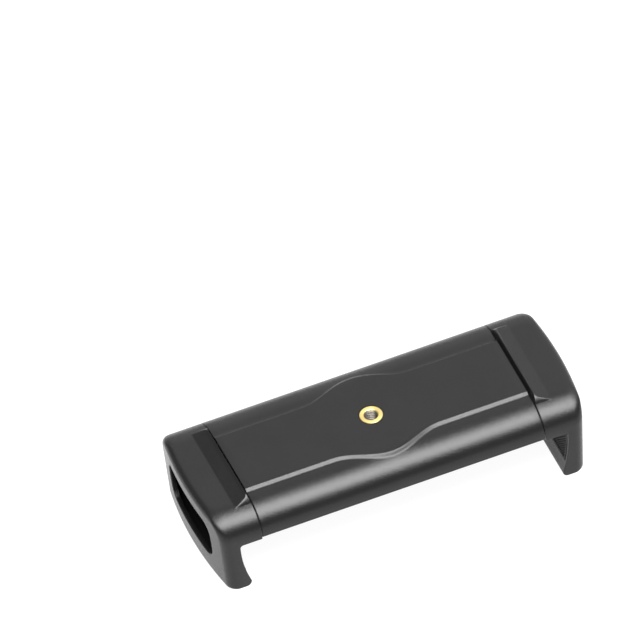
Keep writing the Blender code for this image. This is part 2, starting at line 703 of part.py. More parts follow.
def jaw_pad_outline(margin):
    """Section of the rubber pad on the hook, grown by a margin for the recess it sits in."""
    low, high = JAW_PAD_LOW - margin, JAW_PAD_HIGH + margin
    back = JAW_PAD_THICKNESS - JAW_PAD_PROUD + margin
    front = -(JAW_PAD_PROUD + margin)
    face = hook_face_points(low, high, 6, front)
    return face + list(reversed(hook_face_points(low, high, 6, back)))


def make_jaw(name, slide, rod_y):
    """Moulded jaw: hollow base and hook, window, rod bosses, floor ribs and thumb ridge."""
    jaw = add_object(name, jaw_form(name), "shell", slide)
    rest = slide.matrix_world.copy()
    slide.matrix_world = Matrix.Identity(4)
    combine(jaw, [ridge_mesh()], "UNION")
    combine(jaw, [tablet_space("tablet_space"), jaw_hollow(), window_mesh()])

    floor_z = SEAT_Z + WALL - ROD_Z
    boss_radius = ROD_RADIUS + SEAT_GAP + ROD_BOSS_WALL
    web_half = boss_radius - ROD_WEB_INSET
    web_start = JAW_BOSS_START + OVERLAP / 2
    web_end = JAW_BOSS_END - OVERLAP / 2
    additions = []
    for y in (-rod_y, rod_y):
        additions.append(cylinder_x(boss_radius, -JAW_BOSS_END, -JAW_BOSS_START, (y, 0)))
        web = [
            (y - web_half, floor_z - OVERLAP),
            (y + web_half, floor_z - OVERLAP),
            (y + web_half, 0),
            (y - web_half, 0),
        ]
        additions.append(prism("web", web, "X", -web_end, -web_start))
    for y in (-FLOOR_RIB_Y, FLOOR_RIB_Y):
        half = FLOOR_RIB_WIDTH / 2
        rib = [
            (y - half, floor_z - OVERLAP),
            (y + half, floor_z - OVERLAP),
            (y + half, floor_z + FLOOR_RIB_HEIGHT),
            (y - half, floor_z + FLOOR_RIB_HEIGHT),
        ]
        additions.append(prism("rib", rib, "X", -(HOOK_REACH + OVERLAP), -JAW_BOSS_START))
    combine(jaw, additions, "UNION")

    bores = [
        cylinder_x(ROD_RADIUS + SEAT_GAP, -JAW_BOSS_END - OVERLAP, -JAW_BOSS_START + OVERLAP, (y, 0))
        for y in (-rod_y, rod_y)
    ]
    pad_half = HALF_WIDTH - JAW_PAD_END_MARGIN + SEAT_GAP
    recess = prism("recess", jaw_pad_outline(SEAT_GAP), "Y", -pad_half, pad_half)
    combine(jaw, bores + [recess])
    slide.matrix_world = rest
    return jaw


def rod_mesh():
    """Steel rod with a clip groove near each end, chamfered ends. Zero is at the jaw's mouth."""
    groove = ROD_RADIUS - GROOVE_DEPTH
    profile = [(ROD_RADIUS - ROD_EDGE, -ROD_TAIL), (ROD_RADIUS, ROD_EDGE - ROD_TAIL)]
    for middle in (JAW_CLIP_X, SPRING_CLIP_X):
        low, high = middle - GROOVE_HALF, middle + GROOVE_HALF
        profile += [(ROD_RADIUS, low), (groove, low), (groove, high), (ROD_RADIUS, high)]
    profile += [(ROD_RADIUS, ROD_HEAD - ROD_EDGE), (ROD_RADIUS - ROD_EDGE, ROD_HEAD)]
    return loft("rod", [ring_x(radius, x) for radius, x in profile])


def clip_mesh():
    """Retaining clip: an open flat ring that sits in the rod's groove."""
    inner = ROD_RADIUS - GROOVE_DEPTH + SEAT_GAP
    steps = 9
    start = CLIP_OPENING / 2
    angles = [start + (2 * pi - 2 * start) * i / steps for i in range(steps + 1)]
    outline = [(CLIP_RADIUS * cos(a), CLIP_RADIUS * sin(a)) for a in angles]
    outline += [(inner * cos(a), inner * sin(a)) for a in reversed(angles)]
    half = CLIP_THICKNESS / 2
    return prism("clip", outline, "X", -half, half)


def washer_mesh():
    inner = ROD_RADIUS + SEAT_GAP
    half = WASHER_THICKNESS / 2
    profile = [(inner, -half), (WASHER_RADIUS, -half), (WASHER_RADIUS, half), (inner, half)]
    return loft("washer", [ring_x(radius, x) for radius, x in profile], closed=True)


def spring_mesh(low, high):
    """Compression spring: a helix whose end turns lie close, carried round by a square of wire."""
    steps_per_turn = 6
    sides = 4
    wire = SPRING_WIRE / 2
    count = SPRING_TURNS * steps_per_turn
    start = low + wire
    travel = high - low - SPRING_WIRE - 2 * SPRING_END_PITCH
    rings = []
    for i in range(count + 1):
        turn = i / steps_per_turn
        angle = 2 * pi * turn
        free = min(max((turn - 1) / (SPRING_TURNS - 2), 0.0), 1.0)
        dead = min(turn, 1.0) + max(turn - (SPRING_TURNS - 1), 0.0)
        x = start + SPRING_END_PITCH * dead + travel * free
        ring = []
        for k in range(sides):
            around = 2 * pi * (k + 0.5) / sides
            radius = SPRING_RADIUS + wire * cos(around)
            ring.append((x + wire * sin(around), radius * cos(angle), radius * sin(angle)))
        rings.append(ring)
    return loft("spring", rings)


def make_slide(side_name, side, rod_y):
    """Everything on one slide: the jaw, its pad, two rods, and on each rod its clips and washer."""
    slide = slide_empty(f"{side_name}_slide_line", side)
    bpy.context.view_layer.update()
    make_jaw(f"{side_name}_jaw", slide, rod_y)
    pad_half = HALF_WIDTH - JAW_PAD_END_MARGIN
    pad = prism("jaw_pad", jaw_pad_outline(0.0), "Y", -pad_half, pad_half)
    add_object(f"{side_name}_jaw_pad", pad, "rubber", slide)

    spring_low = MOUTH_X - INSIDE_X + GUIDE_LENGTH + SEAT_GAP
    spring_high = WASHER_X - WASHER_THICKNESS / 2 - SEAT_GAP
    pieces = (
        ("rod", rod_mesh(), "steel", 0.0),
        ("jaw_clip", clip_mesh(), "spring_steel", JAW_CLIP_X),
        ("spring_clip", clip_mesh(), "spring_steel", SPRING_CLIP_X),
        ("washer", washer_mesh(), "zinc", WASHER_X),
        ("spring", spring_mesh(spring_low, spring_high), "spring_steel", 0.0),
    )
    for kind, mesh, finish, x in pieces:
        near_y, far_y = (-rod_y, rod_y) if side < 0 else (rod_y, -rod_y)
        first = add_object(f"{side_name}_{kind}_near", mesh, finish, slide, (x, near_y, 0))
        share_object(f"{side_name}_{kind}_far", first, slide, (x, far_y, 0))


clear_scene()
make_rear_housing()
make_thread_insert()
make_front_frame()
make_housing_screws()
make_grip_pad()
make_slide("left", -1, WIDE_ROD_Y)
make_slide("right", 1, CLOSE_ROD_Y)
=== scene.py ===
"""Spring-loaded tablet clamp with a brass tripod insert, closed and standing on its jaws' lips.

The file follows the clamp as it is put together: back shell, tripod insert, front plate, rubber
sheet, rods, springs, washers with clips and screws, jaws, jaw pads, and last the table top, the
camera and the lamps. Lengths are millimetres in a piece's own sums and become metres when its
mesh is made.
"""

import bmesh
import bpy
import numpy as np
from mathutils import Matrix, Vector
from mathutils.geometry import delaunay_2d_cdt


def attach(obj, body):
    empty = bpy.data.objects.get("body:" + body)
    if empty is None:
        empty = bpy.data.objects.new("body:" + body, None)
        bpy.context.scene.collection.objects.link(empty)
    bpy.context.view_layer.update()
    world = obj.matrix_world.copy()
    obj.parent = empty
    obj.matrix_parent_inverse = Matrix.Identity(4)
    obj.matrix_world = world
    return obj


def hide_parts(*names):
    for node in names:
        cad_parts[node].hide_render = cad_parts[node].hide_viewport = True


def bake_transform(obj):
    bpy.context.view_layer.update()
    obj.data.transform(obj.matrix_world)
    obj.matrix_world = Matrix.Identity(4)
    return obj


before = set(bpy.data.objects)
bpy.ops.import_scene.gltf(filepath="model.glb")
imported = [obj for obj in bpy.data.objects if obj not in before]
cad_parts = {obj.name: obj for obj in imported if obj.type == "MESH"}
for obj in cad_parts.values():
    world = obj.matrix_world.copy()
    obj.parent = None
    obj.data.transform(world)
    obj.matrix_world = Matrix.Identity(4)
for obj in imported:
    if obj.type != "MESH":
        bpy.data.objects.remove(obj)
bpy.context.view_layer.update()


# Back shell
#
# The body's back is one injection moulding in satin black plastic. Its long edges are crowned,
# and a slightly raised panel with a wavy edge carries the tripod insert. Four screws draw it down
# on the front plate.
BODY_END = 60.0
BODY_SIDE = 31.75
RIM_LEVEL = 24.0
CROWN_FOOT = 26.1
CROWN_LEVEL = 35.1
PANEL_LEVEL = 36.0
CROWN_FLAT = 19.0
CROWN_RUN = BODY_SIDE - CROWN_FLAT
CROWN_DROP = CROWN_LEVEL - CROWN_FOOT
SHELL_WALL = 2.0
END_WALL = 2.5
PANEL_EDGE = 14.9
PANEL_SWELL = 6.4
PANEL_SWELL_HALF = 23.0
STEP_START = 0.45
STEP_RUN = 1.4
STEP_TOP_SOFT = 0.12
STEP_FOOT_SOFT = 0.2
STATIONS_BEFORE = 0.8
STEP_STATIONS = (0.0, 0.2, 0.32, 0.42, 0.55, 0.8, 1.1, 1.35, 1.55, 1.75, 2.0, 2.3)
STATIONS_AFTER = 2.75
SIDE_LEVELS = (25.6, 24.9)
FINE_HALF = 22.0
FINE_STEP = 0.55
TRAY_FINE_HALF = 9.0
TRAY_FAR = 40.0
TRAY_SIDE_LEVEL = 25.0
SHELL_EDGE = 0.25
ROD_LEVEL = 29.25
ROD_BORE = 1.85
WIDE_ROD = 23.0
CLOSE_ROD = 13.7
FLANGE_BORE = 4.95
INSERT_BORE = 4.0
FLANGE_SEAT = 34.9
WELD_GAP = 2e-6
SHORTEST_EDGE = 1e-7


def ease(value, softness):
    """A ramp: nothing below zero and one to one above it, with its corner rounded by softness."""
    return (value + np.sqrt(value**2 + softness**2)) / 2


def rounding(count):
    """A quarter round in equal turns, as two shares of its radius at each step: one minus the
    sine, which falls to nothing, and one minus the cosine, which rises to one."""
    angle = np.linspace(0, np.pi / 2, count)
    return 1 - np.sin(angle), 1 - np.cos(angle)


def crown(across, inset=0.0):
    """Height over a distance from the middle line: flat, then a quarter ellipse to the side."""
    out = np.clip((np.abs(across) - CROWN_FLAT) / (CROWN_RUN - inset), 0, 1)
    return CROWN_FOOT + (CROWN_DROP - inset) * np.sqrt(1 - out**2)


def panel_edge(along):
    """The panel's half width: constant, with one cosine swell beside the insert."""
    phase = np.clip(np.abs(along) / PANEL_SWELL_HALF, 0, 1) * np.pi
    return PANEL_EDGE + PANEL_SWELL * (1 + np.cos(phase)) / 2


def back_level(along, across):
    """Height of the back: the panel stands a constant height over the crown, and comes down to it
    over the run of its step."""
    share = (np.abs(across) - panel_edge(along) - STEP_START) / STEP_RUN
    share = ease(share, STEP_TOP_SOFT) - ease(share - 1, STEP_FOOT_SOFT)
    return crown(across) + (PANEL_LEVEL - CROWN_LEVEL) * (1 - share)


def grid(*coordinates):
    """A net of points: its coordinates are spread over all rows and columns and put together."""
    return np.stack(np.broadcast_arrays(*coordinates), axis=-1)


def squares(rows, cols, wrap=False):
    """Corner numbers of each square of a net whose points are numbered row by row."""
    j = np.arange(rows - 1)[:, None]
    i = np.arange(cols if wrap else cols - 1)[None, :]
    k = (i + 1) % cols
    return grid(j * cols + i, j * cols + k, (j + 1) * cols + k, (j + 1) * cols + i)


def net(points, wrap=False, hole=None):
    """A skin over a net of points, with a block of squares (rows, columns) left open."""
    faces = squares(*points.shape[:2], wrap)
    kept = np.ones(faces.shape[:2], bool)
    if hole:
        kept[hole[0] : hole[1], hole[2] : hole[3]] = False
    return points.reshape(-1, 3), faces[kept].tolist(), True


def middle_block(points, rows, cols):
    """The block of squares within some rows and columns of a net's middle point."""
    j, i = points.shape[0] // 2, points.shape[1] // 2
    return j - rows, j + rows, i - cols, i + cols


def hole_rim(points, hole):
    """The points round an open block of a net, in order."""
    j0, j1, i0, i1 = hole
    return np.concatenate([
        points[j0, i0:i1], points[j0:j1, i1], points[j1, i1:i0:-1], points[j1:j0:-1, i0],
    ])


def within(places, loop):
    """Which places lie inside a closed loop: a ray from each crosses the loop an odd count of
    times."""
    a, b = loop, np.roll(loop, -1, axis=0)
    x, y = places[:, None, 0], places[:, None, 1]
    spans = (a[:, 1] > y) != (b[:, 1] > y)
    rise = np.where(b[:, 1] == a[:, 1], 1.0, b[:, 1] - a[:, 1])
    cut = a[:, 0] + (y - a[:, 1]) * (b[:, 0] - a[:, 0]) / rise
    return np.count_nonzero(spans & (x < cut), axis=1) % 2 == 1


def lid(axis, *loops):
    """A flat skin across one axis: the first closed loop is its rim, and the others are holes. A
    rim alone is one face. Of the triangles between several loops, those inside the rim and
    outside the holes are kept."""
    if len(loops) == 1:
        return loops[0], [list(range(len(loops[0])))], False
    flat = [np.delete(loop, axis, axis=1) for loop in loops]
    starts = np.cumsum([0] + [len(loop) for loop in flat])
    edges = []
    for low, high in zip(starts, starts[1:]):
        ring = np.arange(low, high)
        edges += np.stack([ring, np.roll(ring, -1)], axis=1).tolist()
    places = [Vector(place) for place in np.concatenate(flat)]
    corners, _, faces, *_ = delaunay_2d_cdt(places, edges, [], 1, 1e-6)
    corners = np.array([tuple(corner) for corner in corners])
    faces = np.array(faces)
    middles = corners[faces].mean(axis=1)
    kept = within(middles, flat[0])
    for hole in flat[1:]:
        kept &= ~within(middles, hole)
    return np.insert(corners, axis, loops[0][0, axis], axis=1), faces[kept].tolist(), False


def bar(axis, points):
    """Walls carried along rows of points, closed by a flat skin at either end."""
    return [net(points, wrap=True), lid(axis, points[0]), lid(axis, points[-1])]


def full_turn(count):
    """Angles of a full turn in equal steps."""
    return np.arange(count) * 2 * np.pi / count


def around_rod(x, y, radius, angle):
    """Points at a radius and an angle round a rod's axis, which lies along the clamp."""
    return grid(x, y + radius * np.cos(angle), ROD_LEVEL + radius * np.sin(angle))


def put_in_scene(name, data):
    """A new object in the scene, at the origin."""
    made = bpy.data.objects.new(name, data)
    bpy.context.scene.collection.objects.link(made)
    return made


def make_piece(name, skins, finish, body, stands_for, sharp=32):
    """Weld the skins to one closed mesh that faces outwards, and give it its finish and, if a body
    is named, its ride."""
    points = np.concatenate([skin[0] for skin in skins]) * 0.001
    starts = np.cumsum([0] + [len(skin[0]) for skin in skins])
    faces = []
    smooth = []
    for (_, corners, soft), start in zip(skins, starts):
        faces += [[corner + start for corner in face] for face in corners]
        smooth += [soft] * len(corners)
    mesh = bpy.data.meshes.new(name)
    mesh.from_pydata(points, [], faces)
    mesh.polygons.foreach_set("use_smooth", smooth)
    form = bmesh.new()
    form.from_mesh(mesh)
    bmesh.ops.remove_doubles(form, verts=form.verts, dist=WELD_GAP)
    bmesh.ops.dissolve_degenerate(form, edges=form.edges, dist=SHORTEST_EDGE)
    bmesh.ops.recalc_face_normals(form, faces=form.faces)
    form.to_mesh(mesh)
    form.free()
    mesh.set_sharp_from_angle(angle=np.radians(sharp))
    mesh.materials.append(finish)
    piece = put_in_scene(name, mesh)
    if body:
        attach(piece, body)
    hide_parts(stands_for)
    return piece


def node(tree, kind, links=(), **values):
    """A shader node: values set its own settings or its sockets, and links join its sockets."""
    made = tree.nodes.new(kind)
    for key, value in values.items():
        if hasattr(made, key) and key not in made.inputs:
            setattr(made, key, value)
        else:
            made.inputs[key.replace("_", " ")].default_value = value
    for key, source in dict(links).items():
        tree.links.new(source, made.inputs[key])
    return made


def mould_grain():
    """Spark-eroded mould skin: fine pits of mixed sizes, and slow drifts of its tone."""
    tree = bpy.data.node_groups.new("mould_grain", "ShaderNodeTree")
    for name, usual in (("Grain Size", 2600.0), ("Drift Size", 60.0)):
        made = tree.interface.new_socket(name, in_out="INPUT", socket_type="NodeSocketFloat")
        made.default_value = usual
    for name in ("Height", "Drift"):
        tree.interface.new_socket(name, in_out="OUTPUT", socket_type="NodeSocketFloat")
    given, result = tree.nodes.new("NodeGroupInput"), tree.nodes.new("NodeGroupOutput")
    place = node(tree, "ShaderNodeTexCoord").outputs["Object"]
    for size, name, detail, roughness in (
        ("Grain Size", "Height", 4.0, 0.7), ("Drift Size", "Drift", 3.0, 0.55),
    ):
        noise = node(
            tree, "ShaderNodeTexNoise", {"Vector": place, "Scale": given.outputs[size]},
            Detail=detail, Roughness=roughness,
        )
        tree.links.new(noise.outputs["Fac"], result.inputs[name])
    return tree


grain_group = mould_grain()


def new_finish(name, **constants):
    """A material with plain numbers set on its shader, and its node tree."""
    material = bpy.data.materials.new(name)
    material.use_nodes = True
    shader = material.node_tree.nodes["Principled BSDF"]
    for socket, value in constants.items():
        shader.inputs[socket.replace("_", " ")].default_value = value
    return material, material.node_tree


def two_tone(tree, share, dark, light):
    """A colour that runs from the dark tone to the light one with a share."""
    mixed = node(tree, "ShaderNodeMix", {"Factor": share}, data_type="RGBA")
    mixed.inputs["A"].default_value = (*dark, 1)
    mixed.inputs["B"].default_value = (*light, 1)
    return mixed.outputs["Result"]


def join_finish(tree, colour, worn, polish, relief, strength, depth):
    """Join the shader to its colour, to a roughness that runs between the two values of the
    polish as one measure goes from 0 to 1, and to a bump from the relief."""
    shader = tree.nodes["Principled BSDF"]
    rough = node(
        tree, "ShaderNodeMapRange", {"Value": worn}, To_Min=polish[0], To_Max=polish[1],
    )
    bump = node(tree, "ShaderNodeBump", {"Height": relief}, Strength=strength, Distance=depth)
    tree.links.new(colour, shader.inputs["Base Color"])
    tree.links.new(rough.outputs["Result"], shader.inputs["Roughness"])
    tree.links.new(bump.outputs["Normal"], shader.inputs["Normal"])


def moulded_plastic(name, dark, light, polish, depth, grain):
    """Moulded plastic: the drift moves its tone a little, and the pits its polish and its bump."""
    material, tree = new_finish(name, IOR=1.4)
    skin = node(tree, "ShaderNodeGroup", node_tree=grain_group)
    skin.inputs["Grain Size"].default_value = grain
    colour = two_tone(tree, skin.outputs["Drift"], dark, light)
    pits = skin.outputs["Height"]
    join_finish(tree, colour, pits, polish, pits, 1.0, depth)
    return material


satin_black = moulded_plastic(
    "satin_black_plastic", (0.006, 0.006, 0.0064), (0.009, 0.009, 0.0094), (0.32, 0.15),
    depth=0.00009, grain=2400.0,
)


def round_end(section, along, inset):
    """A section drawn in along its own normals at one place, and held above the rim: one step of
    the round of the shell's end."""
    slope = np.gradient(section, axis=0)
    slope /= np.linalg.norm(slope, axis=1)[:, None] + 1e-9
    inward = np.stack([slope[:, 1], -slope[:, 0]], axis=1)
    drawn = section + inset * inward
    drawn[:, 1] = np.maximum(drawn[:, 1], RIM_LEVEL)
    drawn[[0, -1], 1] = RIM_LEVEL
    return np.insert(drawn, 0, along, axis=1)


def side_by_side(parts, rows):
    """Parts of a section put side by side: each gives two coordinates, spread over all rows."""
    whole = [np.broadcast_arrays(*part, rows)[:2] for part in parts]
    return [np.concatenate(columns, axis=1) for columns in zip(*whole)]


def back_half_section(along):
    """One side of the back at each place along it: stations that follow the panel's edge, then
    the crown by equal angles, the side and the small round down to the rim."""
    edge = panel_edge(along)[:, None]
    middle = (edge - STATIONS_BEFORE) * np.linspace(0, 1, 14)
    step = edge + np.array(STEP_STATIONS)
    start = (edge + STATIONS_AFTER - CROWN_FLAT) / CROWN_RUN
    start = np.where(start > 0, np.arcsin(np.clip(start, 0, 1)), start)
    angle = start + (np.pi / 2 - start) * np.linspace(0, 1, 30)
    bend = CROWN_FLAT + CROWN_RUN * np.where(angle > 0, np.sin(angle), angle)
    across = np.concatenate([middle, step, bend], axis=1)
    level = back_level(along[:, None], across)
    fall, rise = rounding(5)
    side = np.concatenate([[BODY_SIDE] * 2, BODY_SIDE - SHELL_EDGE * rise])
    down = np.concatenate([SIDE_LEVELS, RIM_LEVEL + SHELL_EDGE * fall])
    return side_by_side([(across, level), (side, down)], along[:, None])


def full_section(across, level):
    """Both sides of a section from one, left to right, sharing the point on the middle line."""
    parts = ((-1, across), (1, level))
    return [np.concatenate([sign * part[..., :0:-1], part], axis=-1) for sign, part in parts]


def rod_holes(x, rod):
    """The rims of the two rod bores where they come through a wall."""
    return [around_rod(x, y, ROD_BORE, full_turn(36)) for y in (-rod, rod)]


def ring_between(rim, radius, level):
    """Rows of points from the rim of an open block in to a circle round the bore's axis."""
    out = rim[:, :2] / np.linalg.norm(rim[:, :2], axis=1)[:, None] * radius
    inner = np.insert(out, 2, level, axis=1)
    return rim + (inner - rim) * np.linspace(0, 1, 4)[:, None, None]


def mouth_rim(axis, outer, inner):
    """The flat rim that joins the first and the last column of an outer net to an inner one's."""
    loops = [np.concatenate([form[:, 0], form[::-1, -1]]) for form in (outer, inner)]
    return lid(axis, *loops)


def back_shell():
    """Outer skin, inner tray, both end walls with their bores, rim, and the stepped hole for the
    insert. The outer skin and the tray are nets of (along, across, level) points, each with a
    block of squares left open round the hole."""
    near = np.arange(-FINE_HALF, FINE_HALF + 0.01, FINE_STEP)
    far = np.linspace(FINE_HALF, BODY_END - SHELL_EDGE, 14)[1:]
    along = np.concatenate([-far[::-1], near, far])
    across, level = full_section(*back_half_section(along))
    outer = grid(along[:, None], across, level)
    right_end = np.array([
        round_end(outer[-1, :, 1:], BODY_END - SHELL_EDGE * fall, SHELL_EDGE * rise)
        for fall, rise in list(zip(*rounding(5)))[1:]
    ])
    left_end = right_end[::-1] * np.array([-1, 1, 1])
    outer = np.concatenate([left_end, outer, right_end])
    hole = middle_block(outer, 12, 4)
    skins = [net(outer, hole=hole)]

    tray_end = BODY_END - END_WALL
    tray_x = np.concatenate([
        [-tray_end, -TRAY_FAR], np.linspace(-TRAY_FINE_HALF, TRAY_FINE_HALF, 13),
        [TRAY_FAR, tray_end],
    ])
    angle = np.linspace(0, np.pi / 2, 20)
    half = np.concatenate([
        np.linspace(0, CROWN_FLAT - 1, 9), CROWN_FLAT + (CROWN_RUN - SHELL_WALL) * np.sin(angle),
        [BODY_SIDE - SHELL_WALL] * 2,
    ])
    height = np.append(crown(half[:-2], SHELL_WALL), [TRAY_SIDE_LEVEL, RIM_LEVEL])
    tray = grid(tray_x[:, None], *full_section(half, height))
    tray_hole = middle_block(tray, 4, 3)
    skins.append(net(tray, hole=tray_hole))

    skins.append(mouth_rim(2, outer, tray))
    for end, rod in ((0, WIDE_ROD), (-1, CLOSE_ROD)):
        rims = [rod_holes(form[end, 0, 0], rod) for form in (outer, tray)]
        skins += [lid(0, form[end], *rim) for form, rim in zip((outer, tray), rims)]
        skins += [net(np.stack(pair), wrap=True) for pair in zip(*rims)]

    rim = hole_rim(outer, hole)
    skins.append(net(ring_between(rim, FLANGE_BORE, PANEL_LEVEL), wrap=True))
    angle = np.arctan2(rim[:, 1], rim[:, 0])
    radius = np.array([FLANGE_BORE, FLANGE_BORE, INSERT_BORE, INSERT_BORE])[:, None]
    level = np.array([PANEL_LEVEL, FLANGE_SEAT, FLANGE_SEAT, CROWN_LEVEL - SHELL_WALL])[:, None]
    rings = grid(radius * np.cos(angle), radius * np.sin(angle), level)
    return skins + [net(rings, wrap=True), lid(2, hole_rim(tray, tray_hole), rings[-1])]


make_piece(
    "back_shell", back_shell(), satin_black, "body", "rear_housing",
)


# Tripod insert
#
# A free-cutting brass turning, pressed into the back from outside until its flange seats. Its
# blind bore has the 1/4 inch tripod thread, 20 turns to the inch.
INSERT_RADIUS = 3.7
INSERT_CHAMFER = 0.3
INSERT_FOOT = 29.0
FLANGE_RADIUS = 4.65
FLANGE_FOOT = 35.2
FLANGE_EDGE = 0.15
THREAD_MINOR = 2.55
THREAD_DEPTH = 0.55
THREAD_PITCH = 1.27
THREAD_TOP = 35.6
THREAD_FOOT = 30.4
THREAD_ROWS = 60
THREAD_STEEP = 1.35
THREAD_CREST = 0.18
THREAD_LEAD = 0.25
THREAD_FADE = 0.35
LEAD_RADIUS = 3.05
FACE_STATIONS = (4.2, 3.8, 3.4, 3.2)
BORE_FLOOR = 29.8
INSERT_SIDES = 96
BORE_SHADE_FROM = 35.95
BORE_SHADE_TO = 35.5


def brass_insert():
    """A profile turned round the bore's axis: its foot, flange and face, the lead into the bore,
    the thread and the floor. In the bore its radius swings between the minor and the major one
    with the sum of the turn angle and the height, as a helix does."""
    fall, rise = rounding(4)
    lead = np.linspace(0, 1, 5)[:-1]
    radius = np.concatenate([
        [0, INSERT_RADIUS - INSERT_CHAMFER, INSERT_RADIUS, INSERT_RADIUS, FLANGE_RADIUS],
        FLANGE_RADIUS - FLANGE_EDGE * rise,
        FACE_STATIONS, LEAD_RADIUS + (THREAD_MINOR - LEAD_RADIUS) * lead,
        np.full(THREAD_ROWS, THREAD_MINOR), [THREAD_MINOR, THREAD_MINOR, 0],
    ])
    level = np.concatenate([
        [INSERT_FOOT, INSERT_FOOT, INSERT_FOOT + INSERT_CHAMFER, FLANGE_FOOT, FLANGE_FOOT],
        PANEL_LEVEL - FLANGE_EDGE * fall,
        [PANEL_LEVEL] * len(FACE_STATIONS), PANEL_LEVEL + (THREAD_TOP - PANEL_LEVEL) * lead,
        np.linspace(THREAD_TOP, THREAD_FOOT, THREAD_ROWS),
        [THREAD_FOOT - 0.1, BORE_FLOOR, BORE_FLOOR],
    ])
    angle = full_turn(INSERT_SIDES)
    cycle = (angle[None, :] / (2 * np.pi) - level[:, None] / THREAD_PITCH) % 1.0
    groove = np.clip(THREAD_STEEP * (1 - np.abs(2 * cycle - 1)) - THREAD_CREST, 0, 1)
    top_gap = THREAD_TOP + THREAD_LEAD - level
    fade = np.clip(np.minimum(top_gap, level - THREAD_FOOT) / THREAD_FADE, 0, 1)
    fade *= radius <= LEAD_RADIUS
    cut = radius[:, None] + THREAD_DEPTH * groove * fade[:, None]
    return [net(grid(cut * np.cos(angle), cut * np.sin(angle), level[:, None]), wrap=True)]


def turned_metal(name, dark, light, bore, polish, scratch):
    """Metal off a lathe: rings of tool marks round the upright axis, slow stains, and painted
    shade down in the bore, where its colour turns to a darker grey below a height."""
    material, tree = new_finish(name, Metallic=1.0)
    place = node(tree, "ShaderNodeTexCoord").outputs["Object"]
    marks = node(
        tree, "ShaderNodeTexWave", {"Vector": place}, wave_type="RINGS", rings_direction="Z",
        Scale=2600.0, Distortion=3.0, Detail=3.0,
    )
    noise = node(tree, "ShaderNodeTexNoise", {"Vector": place}, Scale=500.0, Detail=4.0)
    stain = noise.outputs["Fac"]
    height = node(tree, "ShaderNodeSeparateXYZ", {"Vector": place})
    # Painted shade: below a height the colour fades to the dark bore tone, which stands in for the
    # shade down the tripod bore.
    depth = node(
        tree, "ShaderNodeMapRange", {"Value": height.outputs["Z"]},
        From_Min=BORE_SHADE_TO * 0.001, From_Max=BORE_SHADE_FROM * 0.001, To_Min=1.0, To_Max=0.0,
    )
    bore_shade_mix = node(
        tree, "ShaderNodeMix",
        {"Factor": depth.outputs["Result"], "A": two_tone(tree, stain, dark, light)},
        data_type="RGBA",
    )
    bore_shade_mix.inputs["B"].default_value = (*bore, 1)
    colour = bore_shade_mix.outputs["Result"]
    join_finish(tree, colour, stain, polish, marks.outputs["Fac"], 0.6, scratch)
    return material


# The third colour is the painted shade of the bore, not a tone of the brass.
turned_brass = turned_metal(
    "turned_brass", (0.82, 0.64, 0.22), (0.94, 0.78, 0.34), (0.17, 0.155, 0.135),
    polish=(0.45, 0.3), scratch=0.00002,
)
make_piece("tripod_insert", brass_insert(), turned_brass, "body", "thread_insert")


# Front plate
#
# A flat moulding in plainer black plastic that closes the body from the tablet's side. Its plug
# fits inside the shell's walls, and the rubber sheet lies in its shallow recess.
PLATE_EDGE = 0.2
PLATE_CORNER = 0.5
PLATE_SIDE = 30.85
PLATE_LEVEL = 23.0
FLANGE_LEVEL = 23.7
PLUG_END = 57.2
PLUG_SIDE = 29.45
PLUG_LEVEL = 25.4
RECESS_END = 57.0
RECESS_SIDE = 28.85
RECESS_CORNER = 3.3
RECESS_FLOOR = 24.0


def round_box(half_x, half_y, corner, level):
    """A rectangle with round corners at one level: the same count of points for every size."""
    quarter = np.arange(4)[:, None]
    angle = (quarter + np.linspace(0, 1, 13)) * np.pi / 2
    side_x = np.where((quarter == 0) | (quarter == 3), 1, -1) * (half_x - corner)
    side_y = np.where(quarter < 2, 1, -1) * (half_y - corner)
    x = (side_x + corner * np.cos(angle)).ravel()
    y = (side_y + corner * np.sin(angle)).ravel()
    return np.stack([x, y, np.full(x.shape, level)], axis=1)


def edge_loops(half_x, half_y, corner, level, radius, outward):
    """Loops of a round edge: from the flat at one level round to the upright side."""
    loops = []
    for fall, rise in zip(*rounding(4)):
        back = radius * fall * outward
        loops.append(round_box(half_x - back, half_y - back, corner - back, level + radius * rise))
    return loops


def front_plate():
    """The recess with its edge, the tablet's side, the flange's edge and the plug, as one stack."""
    loops = [round_box(RECESS_END, RECESS_SIDE, RECESS_CORNER, RECESS_FLOOR)]
    loops += edge_loops(RECESS_END, RECESS_SIDE, RECESS_CORNER, PLATE_LEVEL, PLATE_EDGE, -1)[::-1]
    loops += edge_loops(BODY_END, PLATE_SIDE, PLATE_CORNER, PLATE_LEVEL, PLATE_EDGE, 1)
    loops += [
        round_box(BODY_END, PLATE_SIDE, PLATE_CORNER, FLANGE_LEVEL),
        round_box(PLUG_END, PLUG_SIDE, PLATE_CORNER, FLANGE_LEVEL),
        round_box(PLUG_END, PLUG_SIDE, PLATE_CORNER, PLUG_LEVEL),
    ]
    return bar(2, np.array(loops))


plate_black = moulded_plastic(
    "black_plate_plastic", (0.010, 0.010, 0.0105), (0.014, 0.014, 0.0145), (0.5, 0.4),
    depth=0.00003, grain=3200.0,
)
make_piece(
    "front_plate", front_plate(), plate_black, "body", "front_frame",
)


